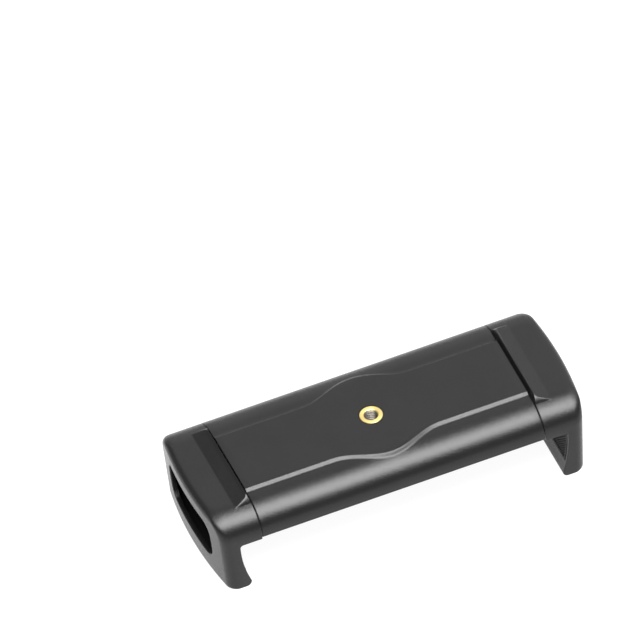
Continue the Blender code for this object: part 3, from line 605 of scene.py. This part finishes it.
# Rubber sheet
#
# A thin moulded rubber sheet glued in the front plate's recess. Slanted ribs keep the tablet from
# sliding, and stop at a bare field in the middle.
SHEET_END = 56.7
SHEET_SIDE = 28.55
SHEET_CORNER = 3.0
SHEET_BACK = 23.7
SHEET_FACE = 23.1
SHEET_EDGE = 0.15
FIELD_HALF_X = 23.7
FIELD_HALF_Y = 10.2
FIELD_CORNER = 4.0
FIELD_STEPS = ((0.0, 0.0), (0.12, 0.03), (0.22, 0.1), (0.32, 0.17), (0.45, 0.2))
RIB_PITCH = 1.55
RIB_MARGIN = 0.35
RIB_ACROSS = (-0.47, -0.36, -0.27, -0.12)
RIB_RISE = (-0.08, 0.28, 0.41, 0.45)
RIB_SHORTEST = 1.5
RIB_END_RUN = 0.3
RIB_END_SHARE = 0.15


def box_distance(x, y, half_x, half_y, corner):
    """Distance from a rectangle with round corners, negative inside it."""
    a = np.abs(x) - (half_x - corner)
    b = np.abs(y) - (half_y - corner)
    outside = np.hypot(np.clip(a, 0, None), np.clip(b, 0, None))
    return outside + np.minimum(np.maximum(a, b), 0) - corner


def chord(offset, half_x, half_y, corner):
    """Where slanted lines at an offset from the middle enter and leave a rounded rectangle. The
    nearest point of each line is found by thirds, and each crossing by halving. A line that
    misses enters and leaves at its nearest point."""
    def distance(reach):
        """Distance from the outline at a reach along each line."""
        x, y = (reach - offset) * np.sqrt(0.5), (reach + offset) * np.sqrt(0.5)
        return box_distance(x, y, half_x, half_y, corner)

    beyond = 90.0
    low, high = np.full(offset.shape, -beyond), np.full(offset.shape, beyond)
    for _ in range(60):
        a, b = low + (high - low) / 3, high - (high - low) / 3
        nearer = distance(a) < distance(b)
        low, high = np.where(nearer, low, a), np.where(nearer, b, high)
    nearest = (low + high) / 2
    hits = distance(nearest) < 0
    ends = []
    for far in (-beyond, beyond):
        near, out = nearest.copy(), np.full(offset.shape, far)
        for _ in range(40):
            middle = (near + out) / 2
            inside = distance(middle) < 0
            near, out = np.where(inside, middle, near), np.where(inside, out, middle)
        ends.append(np.where(hits, near, nearest))
    return ends[0], ends[1], hits


def sheet_ribs():
    """Every rib as one bar: a rounded profile carried along the slant between the points where
    each of its lines meets the sheet's outline or the bare field, lowered at both ends."""
    across = np.array(RIB_ACROSS + tuple(-place for place in RIB_ACROSS[::-1]))
    rise = np.array(RIB_RISE + RIB_RISE[::-1])
    count = int((SHEET_END + SHEET_SIDE) / np.sqrt(2) / RIB_PITCH)
    offset = np.arange(-count, count + 1)[:, None] * RIB_PITCH + across[None, :]
    outline = np.array([SHEET_END, SHEET_SIDE, SHEET_CORNER]) - RIB_MARGIN
    start, stop, hits = chord(offset, *outline)
    field = chord(offset, *np.array([FIELD_HALF_X, FIELD_HALF_Y, FIELD_CORNER]) + RIB_MARGIN)
    kept = hits.all(axis=1) & ((stop - start).min(axis=1) > RIB_SHORTEST)
    split = kept & field[2].any(axis=1)
    single = kept & ~split
    low = np.concatenate([start[single], start[split], field[1][split]])
    high = np.concatenate([stop[single], field[0][split], stop[split]])
    lines = np.concatenate([offset[single], offset[split], offset[split]])
    share = np.array([0.0, 0.0, 1.0, 1.0])[None, :, None]
    inset = np.array([0.0, RIB_END_RUN, -RIB_END_RUN, 0.0])[None, :, None]
    reach = low[:, None, :] + (high - low)[:, None, :] * share + inset
    fullness = np.array([RIB_END_SHARE, 1.0, 1.0, RIB_END_SHARE])[:, None]
    height = np.maximum(rise, 0) * fullness + np.minimum(rise, 0)
    x = (reach - lines[:, None, :]) * np.sqrt(0.5)
    y = (reach + lines[:, None, :]) * np.sqrt(0.5)
    points = grid(x, y, SHEET_FACE - height)
    bars, stations, width = points.shape[:3]
    first = np.arange(bars)[:, None, None] * stations * width
    walls = first + squares(stations, width, wrap=True).reshape(1, -1, 4)
    ends = first + np.stack([np.arange(width), (stations - 1) * width + np.arange(width)])[None]
    faces = walls.reshape(-1, 4).tolist() + ends.reshape(-1, width).tolist()
    return points.reshape(-1, 3), faces, True


def rubber_sheet():
    """The sheet with its sunk field, and the ribs, whose roots reach a little into it."""
    loops = [round_box(SHEET_END, SHEET_SIDE, SHEET_CORNER, SHEET_BACK)]
    loops += edge_loops(SHEET_END, SHEET_SIDE, SHEET_CORNER, SHEET_FACE, SHEET_EDGE, 1)[::-1]
    for back, sink in FIELD_STEPS:
        loops.append(round_box(
            FIELD_HALF_X - back, FIELD_HALF_Y - back, FIELD_CORNER - back, SHEET_FACE + sink,
        ))
    return bar(2, np.array(loops)) + [sheet_ribs()]


def rubber(name, dark, light, polish):
    """Moulded rubber: a matt skin with fine pits, whose tone and polish drift slowly."""
    material, tree = new_finish(name, Specular_IOR_Level=0.25)
    skin = node(tree, "ShaderNodeGroup", node_tree=grain_group)
    skin.inputs["Grain Size"].default_value = 5200.0
    skin.inputs["Drift Size"].default_value = 160.0
    drift = skin.outputs["Drift"]
    colour = two_tone(tree, drift, dark, light)
    join_finish(tree, colour, drift, polish, skin.outputs["Height"], 0.8, 0.00003)
    return material


ribbed_rubber = rubber(
    "ribbed_black_rubber", (0.016, 0.016, 0.016), (0.026, 0.026, 0.025), polish=(0.72, 0.58),
)
make_piece(
    "rubber_sheet", rubber_sheet(), ribbed_rubber, "body", "grip_pad",
    sharp=40,
)


# Rods
#
# Four drawn and polished steel rods, two to a jaw. Each has a turned groove near either end for
# a clip, and a small chamfer.
ROD_RADIUS = 1.5
ROD_TAIL = 14.2
ROD_HEAD = 116.3
ROD_CHAMFER = 0.3
GROOVE_RADIUS = 1.1
GROOVE_HALF = 0.6
EDGE_ROW = 0.1
JAW_GROOVE = -12.6
SPRING_GROOVE = 114.5
MOUTH = 60.3
JAW_SIDES = (("left", -1, WIDE_ROD), ("right", 1, CLOSE_ROD))
ROD_SIDES = (("near", -1), ("far", 1))


def rod_skins(side, across):
    """A profile turned round the rod's own axis, from its tail in the jaw to its inner end."""
    along = [-ROD_TAIL, -ROD_TAIL, -ROD_TAIL + ROD_CHAMFER, -ROD_TAIL + ROD_CHAMFER + EDGE_ROW]
    radius = [0.0, ROD_RADIUS - ROD_CHAMFER, ROD_RADIUS, ROD_RADIUS]
    for groove in (JAW_GROOVE, SPRING_GROOVE):
        low, high = groove - GROOVE_HALF, groove + GROOVE_HALF
        along += [low - EDGE_ROW, low, low, high, high, high + EDGE_ROW]
        radius += [ROD_RADIUS, ROD_RADIUS, GROOVE_RADIUS, GROOVE_RADIUS, ROD_RADIUS, ROD_RADIUS]
    along += [ROD_HEAD - ROD_CHAMFER - EDGE_ROW, ROD_HEAD - ROD_CHAMFER, ROD_HEAD, ROD_HEAD]
    radius += [ROD_RADIUS, ROD_RADIUS, ROD_RADIUS - ROD_CHAMFER, 0.0]
    along, radius = np.array([along, radius])[:, :, None]
    points = around_rod(side * (MOUTH - along), across, radius, full_turn(48))
    return [net(points, wrap=True)]


def drawn_steel(name, dark, light, polish, stretch):
    """Drawn metal: streaks stretched along the piece, in its tone, its polish and fine relief."""
    material, tree = new_finish(name, Metallic=1.0)
    place = node(tree, "ShaderNodeTexCoord").outputs["Object"]
    along = node(tree, "ShaderNodeMapping", {"Vector": place}, Scale=(stretch, 1.0, 1.0))
    noise = node(
        tree, "ShaderNodeTexNoise", {"Vector": along.outputs["Vector"]}, Scale=3000.0, Detail=4.0,
    )
    streak = noise.outputs["Fac"]
    colour = two_tone(tree, streak, dark, light)
    join_finish(tree, colour, streak, polish, streak, 0.3, 0.00001)
    return material


rod_steel = drawn_steel(
    "polished_steel", (0.6, 0.6, 0.61), (0.78, 0.78, 0.79), polish=(0.22, 0.12), stretch=0.02,
)
for jaw, side, rod in JAW_SIDES:
    for row, sign in ROD_SIDES:
        make_piece(
            f"{jaw}_{row}_steel_rod", rod_skins(side, sign * rod), rod_steel, f"{jaw}_jaw",
            f"{jaw}_rod_{row}", sharp=40,
        )


# Springs
#
# Four compression springs wound from round spring wire, one on each rod between its guide in the
# body and its washer. A jaw that is pulled out draws the washer along and shortens its springs.
WIRE_RADIUS = 0.35
COIL_RADIUS = 2.15
COIL_TURNS = 12
TURN_STEPS = 32
END_PITCH = 1.0
COIL_START = 11.2
COIL_END = 112.7


def spring_skins(side, across):
    """A ring of points carried round the rod's axis. It moves on by a small pitch over the first
    and the last turn, and by equal steps over the turns between them."""
    turns = np.linspace(0, COIL_TURNS, COIL_TURNS * TURN_STEPS + 1)
    free = np.clip((turns - 1) / (COIL_TURNS - 2), 0, 1)
    close = np.minimum(turns, 1) + np.clip(turns - COIL_TURNS + 1, 0, None)
    travel = COIL_END - COIL_START - 2 * WIRE_RADIUS - 2 * END_PITCH
    along = COIL_START + WIRE_RADIUS + END_PITCH * close + travel * free
    radius = COIL_RADIUS + WIRE_RADIUS * np.cos(full_turn(8))
    place = along[:, None] + WIRE_RADIUS * np.sin(full_turn(8))
    turned = 2 * np.pi * turns[:, None]
    return bar(1, around_rod(side * (MOUTH - place), across, radius, turned))


spring_wire = drawn_steel(
    "spring_steel", (0.3, 0.3, 0.32), (0.46, 0.46, 0.48), polish=(0.38, 0.26), stretch=1.0,
)
for jaw, side, rod in JAW_SIDES:
    for row, sign in ROD_SIDES:
        spring = make_piece(
            f"{jaw}_{row}_spring", spring_skins(side, sign * rod), spring_wire, None,
            f"{jaw}_spring_{row}",
        )
        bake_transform(spring)


# Washers, clips and screws
#
# Bought-in parts that the body hides. Their solids have the right shape, so they stay, and only
# get their metals: zinc-plated washers and screws, and blued clips.
zinc_plate = drawn_steel(
    "zinc_plated_steel", (0.5, 0.51, 0.53), (0.66, 0.67, 0.7), polish=(0.42, 0.3), stretch=1.0,
)
for name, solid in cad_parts.items():
    if "clip" in name:
        solid.material_slots[0].material = spring_wire
    elif "washer" in name or "screw" in name:
        solid.material_slots[0].material = zinc_plate


# Jaws
#
# Each jaw is one hollow moulding in the same satin black plastic, with a thumb ridge, an end wall
# with a window, and a hook with a lip for the tablet. It is pressed on the ends of its two rods
# and held there by clips.
JAW_REACH = 19.8
END_ARC = 170.0
END_LEAN = 2.0
JAW_CORNER = 4.2
TOP_ROUND = 3.0
LIP_ROUND = 1.2
SIDE_ROUND = 0.24
SEAT_LEVEL = 23.0
FLOOR_LEVEL = SEAT_LEVEL + SHELL_WALL
HOOK_REACH = 9.3
HOOK_WALL = 3.6
THINNEST_HOOK = 3.75
LIP_OVERHANG = 3.5
LIP_NOSE = 2.3
ROOT_ROUND = 1.2
WINDOW_HALF = 20.5
WINDOW_LOW = 9.0
WINDOW_HIGH = 27.6
WINDOW_CORNER = 5.5
WINDOW_EDGE = 0.5
WINDOW_BLOCK = 23.4
BLOCK_ROWS = 8
RIDGE_HEIGHT = 2.5
RIDGE_START = 0.12
RIDGE_STEEP = 3.4
RIDGE_CREST = 1.0
RIDGE_FALL = 0.9
RIDGE_FOOT = 6.9
RIDGE_SLOPE = 0.36
RIDGE_DIP_START = 18.2
RIDGE_DIP = 0.12
RIDGE_END = 22.5
RIDGE_END_STEEP = 2.2
RIDGE_TOP_SOFT = 0.2
RIDGE_EDGE_SOFT = 0.15
RIDGE_BACK_SOFT = 0.1
RIDGE_FOOT_SOFT = 0.05
ROWS_FINE_FROM = 16.5
ROWS_FINE_TO = 23.5
ROWS_FINE_STEP = 0.25
RIDGE_STATIONS = np.concatenate([
    np.linspace(0.25, 1.2, 16), np.linspace(1.28, 2.2, 10), np.linspace(2.5, 6.3, 7),
    np.linspace(6.5, 7.2, 7), [7.5],
])
INNER_STATIONS = np.linspace(1.5, 7.5, 5)
WALL_SHARES = np.concatenate([[0.885], np.linspace(0.8437, 0.165, 9), [0.1, 0.04, 0.0]])
PAD_SEAT_HALF = 30.65
PAD_SEAT_LOW = 7.5
PAD_SEAT_HIGH = 21.5
PAD_SEAT_DEPTH = 1.5
PAD_SEAT_STEP = 0.04
SOCKET_START = 1.5
SOCKET_END = 12.0
SOCKET_EDGE = 0.3
FLOOR_SINK = 0.2
SOCKET_RADIUS = 3.3
SOCKET_BORE = 1.8
FLOOR_RIB_PLACE = 5.2
FLOOR_RIB_END = 9.7
FLOOR_RIB_HALF = 0.5
FLOOR_RIB_HEIGHT = 1.4
FLOOR_RIB_ROUND = 0.4


def drawn_back(distance, radius):
    """How far a round edge draws back at a distance from the face that it ends on."""
    near = np.clip(distance / radius, 0, 1)
    return radius * (1 - np.sqrt(1 - (1 - near) ** 2))


def jaw_end(across, level, inset=0.0):
    """Distance of the end wall from the mouth: an arc in plan with round corners, leaning out
    upwards, drawn back along its top edge and, outside, along the lip. The inside stays clear of
    the hook's wall."""
    rise = np.clip((level - CROWN_FOOT) / (CROWN_DROP - inset), 0, 1)
    half = CROWN_FLAT + (CROWN_RUN - inset) * np.sqrt(1 - rise**2)
    top = drawn_back(CROWN_LEVEL - inset - level, TOP_ROUND - inset / 2)
    lip = drawn_back(level, LIP_ROUND) if inset == 0 else 0.0
    length = JAW_REACH - inset - END_LEAN * (CROWN_LEVEL - level) / CROWN_LEVEL - top - lip
    centre = length - END_ARC
    corner_side = half - JAW_CORNER
    swing = np.arcsin(corner_side / (END_ARC - JAW_CORNER))
    corner_place = centre + (END_ARC - JAW_CORNER) * np.cos(swing)
    side = np.abs(across)
    bulge = centre + np.sqrt(END_ARC**2 - side**2)
    round_corner = np.clip(side - corner_side, 0, JAW_CORNER)
    corner = corner_place + np.sqrt(JAW_CORNER**2 - round_corner**2)
    end = np.where(side <= END_ARC * np.sin(swing), bulge, corner)
    return np.maximum(end, hook_face(level) + THINNEST_HOOK) if inset else end


def hook_face(level):
    """Distance of the hook's inner face from the mouth: a parabola that leans in to the lip."""
    high = SEAT_LEVEL - ROOT_ROUND
    depth = np.clip((high - level) / (high - LIP_NOSE), 0, None)
    return HOOK_REACH - LIP_OVERHANG * depth**2


def lower_of(one, two, softness):
    """The lower of two heights, their meeting line rounded by softness."""
    return (one + two - np.sqrt((one - two) ** 2 + softness**2)) / 2


def ridge_rise(out, across):
    """Height of the thumb ridge: a steep wall by the mouth, a narrow crest that dips toward its
    ends, a short fall behind it, a long flat slope, and end faces. The lowest of them counts, but
    the higher of the fall and the slope."""
    wall = RIDGE_STEEP * (out - RIDGE_START)
    fall = RIDGE_HEIGHT + RIDGE_FALL * (RIDGE_CREST - out)
    slope = RIDGE_SLOPE * (RIDGE_FOOT - out)
    back = slope + ease(fall - slope, RIDGE_BACK_SOFT)
    crest = RIDGE_HEIGHT - RIDGE_DIP * np.clip(np.abs(across) - RIDGE_DIP_START, 0, None) ** 2
    ends = RIDGE_END_STEEP * (RIDGE_END - np.abs(across))
    length = lower_of(wall, back, RIDGE_TOP_SOFT)
    width = lower_of(crest, ends, RIDGE_TOP_SOFT)
    return ease(lower_of(length, width, RIDGE_EDGE_SOFT), RIDGE_FOOT_SOFT)


def jaw_rows(inset):
    """Places across the jaw: even on the flat, close about the ridge's ends, then by equal angles
    of the crown to the side, and outside two more where the pad's recess ends."""
    run = CROWN_RUN - inset
    angle = np.linspace(np.arcsin((ROWS_FINE_TO - CROWN_FLAT) / run), np.pi / 2, 24)[1:]
    half = np.concatenate([
        np.linspace(0, ROWS_FINE_FROM - 0.5, 9),
        np.arange(ROWS_FINE_FROM, ROWS_FINE_TO + 0.01, ROWS_FINE_STEP),
        CROWN_FLAT + run * np.sin(angle),
    ])
    if not inset:
        half = np.sort(np.append(half, [PAD_SEAT_HALF, PAD_SEAT_HALF + PAD_SEAT_STEP]))
    return np.concatenate([-half[:0:-1], half])


def jaw_net(inset=0.0):
    """One profile for each row across the jaw, from the mouth's top out over the ridge, down the
    end wall, under the lip, up the hook and back along the seat. Returns the net as (out,
    across, level) and the columns where the window's block begins and ends."""
    rows = jaw_rows(inset)[:, None]
    top = crown(rows, inset)
    if inset:
        low = inset
        mouth_out = mouth_drop = np.zeros(1)
        over, over_level = INNER_STATIONS, top
    else:
        low = LIP_ROUND
        mouth_drop, mouth_out = (SHELL_EDGE * share[:-1] for share in rounding(5))
        over, over_level = RIDGE_STATIONS, top + ridge_rise(RIDGE_STATIONS, rows)
    flat = over[-1] + (jaw_end(rows, top, inset) - over[-1]) * np.linspace(0.2, 1, 5)
    fillet = 1 - TOP_ROUND * rounding(13)[1][1:] / (CROWN_LEVEL - low)
    wall_level = low + (top - low) * np.append(fillet, WALL_SHARES)
    wall_out = jaw_end(rows, wall_level, inset)
    wall_start = mouth_out.size + over.size + flat.shape[1]
    block_start = wall_start + fillet.size + 1
    parts = [
        (mouth_out, top - mouth_drop), (over, over_level), (flat, top), (wall_out, wall_level),
    ]
    if inset:
        climb = np.linspace(low, FLOOR_LEVEL, 8)
        face = hook_face(climb) + HOOK_WALL
        tail_out = np.append(face, np.linspace(face[-1], 0, 5)[1:])
        tail_level = np.append(climb, np.full(4, FLOOR_LEVEL))
        under = np.linspace(0, 1, 4)[1:-1]
    else:
        lip_level = LIP_ROUND * rounding(6)[0][None, 1:]
        parts.append((jaw_end(rows, lip_level), lip_level))
        nose_place = HOOK_REACH - LIP_OVERHANG + LIP_NOSE
        nose_fall, nose_rise = rounding(9)
        climb = np.concatenate([
            np.linspace(LIP_NOSE, PAD_SEAT_LOW - PAD_SEAT_STEP, 5)[1:],
            np.linspace(PAD_SEAT_LOW, PAD_SEAT_HIGH, 14), [PAD_SEAT_HIGH + PAD_SEAT_STEP],
        ])
        fall, rise = rounding(7)
        seat = np.linspace(HOOK_REACH - ROOT_ROUND, SHELL_EDGE, 6)[1:-1]
        tail_out = np.concatenate([
            nose_place - LIP_NOSE * (1 - nose_fall), hook_face(climb),
            HOOK_REACH - ROOT_ROUND * rise, seat, SHELL_EDGE * fall,
        ])
        tail_level = np.concatenate([
            LIP_NOSE * nose_rise, climb, SEAT_LEVEL - ROOT_ROUND * fall,
            np.full(len(seat), SEAT_LEVEL), SEAT_LEVEL + SHELL_EDGE * rise,
        ])
        under = np.linspace(0, 1, 5)[1:-1]
    last = parts[-1][0][:, -1:]
    nearest = face[0] if inset else nose_place
    parts += [(last + (nearest - last) * under, inset), (tail_out, tail_level)]
    out, level = side_by_side(parts, rows)
    if not inset:
        out, level = round_sides(out, level, rows)
        out[:, :wall_start] = np.minimum(out[:, :wall_start], out[:, wall_start, None])
        near = PAD_SEAT_STEP / 4
        seat = np.abs(out - hook_face(level)) < 1e-6
        seat &= np.abs(rows) < PAD_SEAT_HALF + near
        seat &= (level > PAD_SEAT_LOW - near) & (level < PAD_SEAT_HIGH + near)
        out = out + PAD_SEAT_DEPTH * seat
    return grid(out, rows, level), (block_start, block_start + BLOCK_ROWS)


def round_sides(out, level, rows):
    """Draw each profile near the jaw's sides in along its own normals: a small round all along
    the edges of the side walls."""
    inset = drawn_back(BODY_SIDE - np.abs(rows), SIDE_ROUND)
    run = np.gradient(out, axis=1)
    climb = np.gradient(level, axis=1)
    size = np.hypot(run, climb) + 1e-9
    normal_out, normal_up = -climb / size, run / size
    normal_out[:, [0, -1]] = 0
    normal_up[:, 0] = 1
    normal_up[:, -1] = -1
    out = out - inset * normal_out
    lowered = level - inset * normal_up
    return out, np.where(inset > 0, np.minimum(lowered, crown(rows) - inset), lowered)


def toward_window(rim, distance):
    """Where the ray from the window's middle to each rim point lies at a distance from the
    window's rounded outline, found by halving."""
    centre = np.array([0.0, (WINDOW_LOW + WINDOW_HIGH) / 2])
    half_high = (WINDOW_HIGH - WINDOW_LOW) / 2
    low, high = np.zeros(len(rim)), np.ones(len(rim))
    ray = rim - centre
    for _ in range(40):
        middle = (low + high) / 2
        across, up = ray.T * middle
        outside = box_distance(across, up, WINDOW_HALF, half_high, WINDOW_CORNER) > distance
        high = np.where(outside, middle, high)
        low = np.where(outside, low, middle)
    return centre + ray * high[:, None]


def rod_socket(across):
    """A rod's socket on the jaw's floor: a half circle with straight legs carried outwards, its
    ends rounded by small steps, and a bore through it."""
    angle = np.linspace(0, np.pi, 25)
    outline = np.array([np.append(np.cos(angle), [-1, 1]), np.append(np.sin(angle), [0, 0])]).T
    outline *= SOCKET_RADIUS
    outline[-2:, 1] = FLOOR_LEVEL - FLOOR_SINK - ROD_LEVEL
    draw, ends = (SOCKET_EDGE * share for share in rounding(4))
    place = np.concatenate([SOCKET_START + ends, SOCKET_END - ends[::-1]])
    shrink = np.concatenate([draw, draw[::-1]])[:, None]
    y = outline[:, 0] * (1 - shrink / SOCKET_RADIUS)
    z = np.where(outline[:, 1] > 0, outline[:, 1] * (1 - shrink / SOCKET_RADIUS), outline[:, 1])
    outside = grid(place[:, None], across + y, ROD_LEVEL + z)
    place = np.array([[SOCKET_START], [SOCKET_END]])
    bore = around_rod(place, across, SOCKET_BORE, full_turn(32))
    return [
        net(outside, wrap=True), net(bore, wrap=True),
        lid(0, outside[0], bore[0]), lid(0, outside[-1], bore[1]),
    ]


def floor_rib(across):
    """A low bar on the jaw's floor, its top rounded."""
    angle = np.linspace(0, np.pi, 9)
    y = across + FLOOR_RIB_HALF * np.concatenate([[1.0], np.cos(angle), [-1.0]])
    top = FLOOR_RIB_HEIGHT - FLOOR_RIB_ROUND * (1 - np.sin(angle))
    z = FLOOR_LEVEL + np.concatenate([[-FLOOR_SINK], top, [-FLOOR_SINK]])
    return bar(0, grid(np.array([[SOCKET_START], [FLOOR_RIB_END]]), y, z))


def jaw_skins(side, rod):
    """The jaw's outside, inside, side walls, mouth rim, window, rod sockets and floor ribs, as
    (out, across, level) points laid along the clamp on one side."""
    outer, (top_column, low_column) = jaw_net()
    inner, (inner_top, inner_low) = jaw_net(SHELL_WALL)
    row = int(np.argmin(np.abs(outer[:, 0, 1] + WINDOW_BLOCK)))
    inner_row = row - (len(outer) - len(inner)) // 2
    hole = (row, len(outer) - 1 - row, top_column, low_column)
    inner_hole = (inner_row, len(inner) - 1 - inner_row, inner_top, inner_low)
    skins = [net(outer, hole=hole), net(inner, hole=inner_hole)]
    for form in (outer, inner):
        skins += [lid(1, form[0]), lid(1, form[-1])]
    skins.append(mouth_rim(0, outer, inner))
    rim = hole_rim(outer, hole)
    outline = toward_window(rim[:, 1:], 0.0)
    edge_start = toward_window(rim[:, 1:], WINDOW_EDGE)

    def ring(place, inset=0.0, depth=0.0):
        """Places on the end wall's outside or inside, sunk to a depth."""
        return np.column_stack([jaw_end(*place.T, inset) - depth, place])

    rings = [rim]
    for share in (0.35, 0.7):
        rings.append(ring(rim[:, 1:] + (edge_start - rim[:, 1:]) * share))
    for fall, rise in zip(*rounding(6)):
        rings.append(ring(toward_window(rim[:, 1:], WINDOW_EDGE * fall), depth=WINDOW_EDGE * rise))
    inner_rim = hole_rim(inner, inner_hole)
    for share in (1.0, 0.5):
        rings.append(ring(inner_rim[:, 1:] + (outline - inner_rim[:, 1:]) * share, SHELL_WALL))
    rings.append(inner_rim)
    skins.append(net(np.array(rings), wrap=True))
    for across in (-rod, rod):
        skins += rod_socket(across)
    for across in (-FLOOR_RIB_PLACE, FLOOR_RIB_PLACE):
        skins += floor_rib(across)
    return on_side(skins, side)


def on_side(skins, side):
    """Skins given outward from the mouth, set on the left (-1) or the right (1) of the body."""
    mouth = np.array([side * MOUTH, 0, 0])
    return [(mouth + points * [side, 1, 1], faces, soft) for points, faces, soft in skins]


for jaw, side, rod in JAW_SIDES:
    make_piece(
        f"{jaw}_jaw_moulding", jaw_skins(side, rod), satin_black, f"{jaw}_jaw", f"{jaw}_jaw",
    )


# Jaw pads
#
# A moulded rubber pad lies in a recess of each hook's inner face and stands a little proud of it.
# Its face is cut up in small raised diamonds inside a plain border.
PAD_HALF = 30.35
PAD_LOW = 7.8
PAD_HIGH = 21.2
PAD_PROUD = 0.2
PAD_BACK = 1.2
PAD_EDGE = 0.3
PAD_EDGE_STATIONS = (0.0, 0.03, 0.09, 0.18)
DIAMOND_PITCH = 1.2
DIAMOND_DEPTH = 0.42
DIAMOND_TOP = 0.45
DIAMOND_SLOPE = 0.45
PAD_BORDER = 0.7
BORDER_STEP = 0.15
PAD_GRID = 0.2
PAD_GRID_HALF = (30.0, 6.4)


def pad_skins(side):
    """Profiles across the pad: its face follows the hook's curve and is lowered by the diamonds'
    grooves, where the nearer of two slanted sets of lines lies, and by a round along its rim."""
    half_height = (PAD_HIGH - PAD_LOW) / 2
    middle = (PAD_HIGH + PAD_LOW) / 2
    edge = np.array(PAD_EDGE_STATIONS)
    run, face = (np.arange(-half, half + 0.01, PAD_GRID) for half in PAD_GRID_HALF)
    up = np.concatenate([edge - half_height, face, half_height - edge[::-1]])
    along = np.concatenate([edge - PAD_HALF, run, PAD_HALF - edge[::-1]])[:, None]
    rim = np.minimum(PAD_HALF - np.abs(along), half_height - np.abs(up))
    one = np.abs((along + up) / DIAMOND_PITCH % 1.0 - 0.5) * 2
    two = np.abs((along - up) / DIAMOND_PITCH % 1.0 - 0.5) * 2
    groove = np.clip((np.maximum(one, two) - DIAMOND_TOP) / DIAMOND_SLOPE, 0, 1)
    groove = groove * np.clip((rim - PAD_BORDER) / BORDER_STEP, 0, 1)
    height = PAD_PROUD - drawn_back(rim, PAD_EDGE) - DIAMOND_DEPTH * groove
    front = hook_face(middle + up) - height
    back_up = middle + np.linspace(half_height, -half_height, 9)
    back = (hook_face(back_up) + PAD_BACK, back_up)
    out, level = side_by_side([(front, middle + up), back], along)
    return on_side(bar(1, grid(out, along, level)), side)


# The pad's tones are set darker than the sheet's rubber: its own black, plus painted shade for
# where it sits in the hook under the body.
diamond_rubber = rubber(
    "diamond_black_rubber", (0.006, 0.006, 0.006), (0.010, 0.010, 0.0098), polish=(0.55, 0.4),
)
for jaw, side, _ in JAW_SIDES:
    make_piece(
        f"{jaw}_diamond_pad", pad_skins(side), diamond_rubber, f"{jaw}_jaw", f"{jaw}_jaw_pad",
        sharp=50,
    )


# Stage
#
# A plain pale table top, far wider than the view, a camera at the photograph's angle without
# perspective, and two large soft lamps in a pale room.
TABLE_HALF = 6.0
PIXELS = 640
PIXELS_PER_METRE = 2556
AIM = (0, 0, 0.036)
CAMERA_PLACE = (-0.01995, 0.0370, 0.6)
LAMP_AIM = (0, 0, 0.03)

mesh = bpy.data.meshes.new("table_top")
corners = np.array([(-1, -1, 0), (1, -1, 0), (1, 1, 0), (-1, 1, 0)]) * TABLE_HALF
mesh.from_pydata(corners, [], [(0, 1, 2, 3)])
pale_table, _ = new_finish(
    "pale_table", Base_Color=(0.1, 0.1, 0.1, 1), Roughness=0.9, Emission_Color=(1, 1, 1, 1),
    Emission_Strength=0.95,
)
mesh.materials.append(pale_table)
put_in_scene("table_top", mesh)

lens = bpy.data.cameras.new("camera")
lens.type = "ORTHO"
lens.ortho_scale = PIXELS / PIXELS_PER_METRE
lens.clip_end = 10
camera = put_in_scene("camera", lens)
turned, raised, rolled = np.radians([-19.0, 45.9, 5.2])
camera.matrix_world = (
    Matrix.Translation(AIM)
    @ Matrix.Rotation(turned, 4, "Z")
    @ Matrix.Rotation(np.pi / 2 - raised, 4, "X")
    @ Matrix.Rotation(-rolled, 4, "Z")
    @ Matrix.Translation(CAMERA_PLACE)
)
bpy.context.scene.camera = camera

scene = bpy.context.scene
scene.view_settings.view_transform = "Standard"
scene.world = bpy.data.worlds.new("studio")
scene.world.use_nodes = True
sky = scene.world.node_tree.nodes["Background"]
sky.inputs["Color"].default_value = (1, 1, 1, 1)
sky.inputs["Strength"].default_value = 0.25


def soft_box(name, place, size, watts):
    """A rectangular lamp that faces the clamp."""
    light = bpy.data.lights.new(name, "AREA")
    light.shape = "RECTANGLE"
    light.size, light.size_y = size
    light.energy = watts
    lamp = put_in_scene(name, light)
    lamp.location = place
    facing = Vector(LAMP_AIM) - Vector(place)
    lamp.rotation_euler = facing.to_track_quat("-Z", "Y").to_euler()


soft_box("overhead", (0.1, -0.37, 1.3), (1.6, 0.9), 70)
soft_box("back_card", (0.85, 1.05, 0.95), (2.7, 1.5), 10)
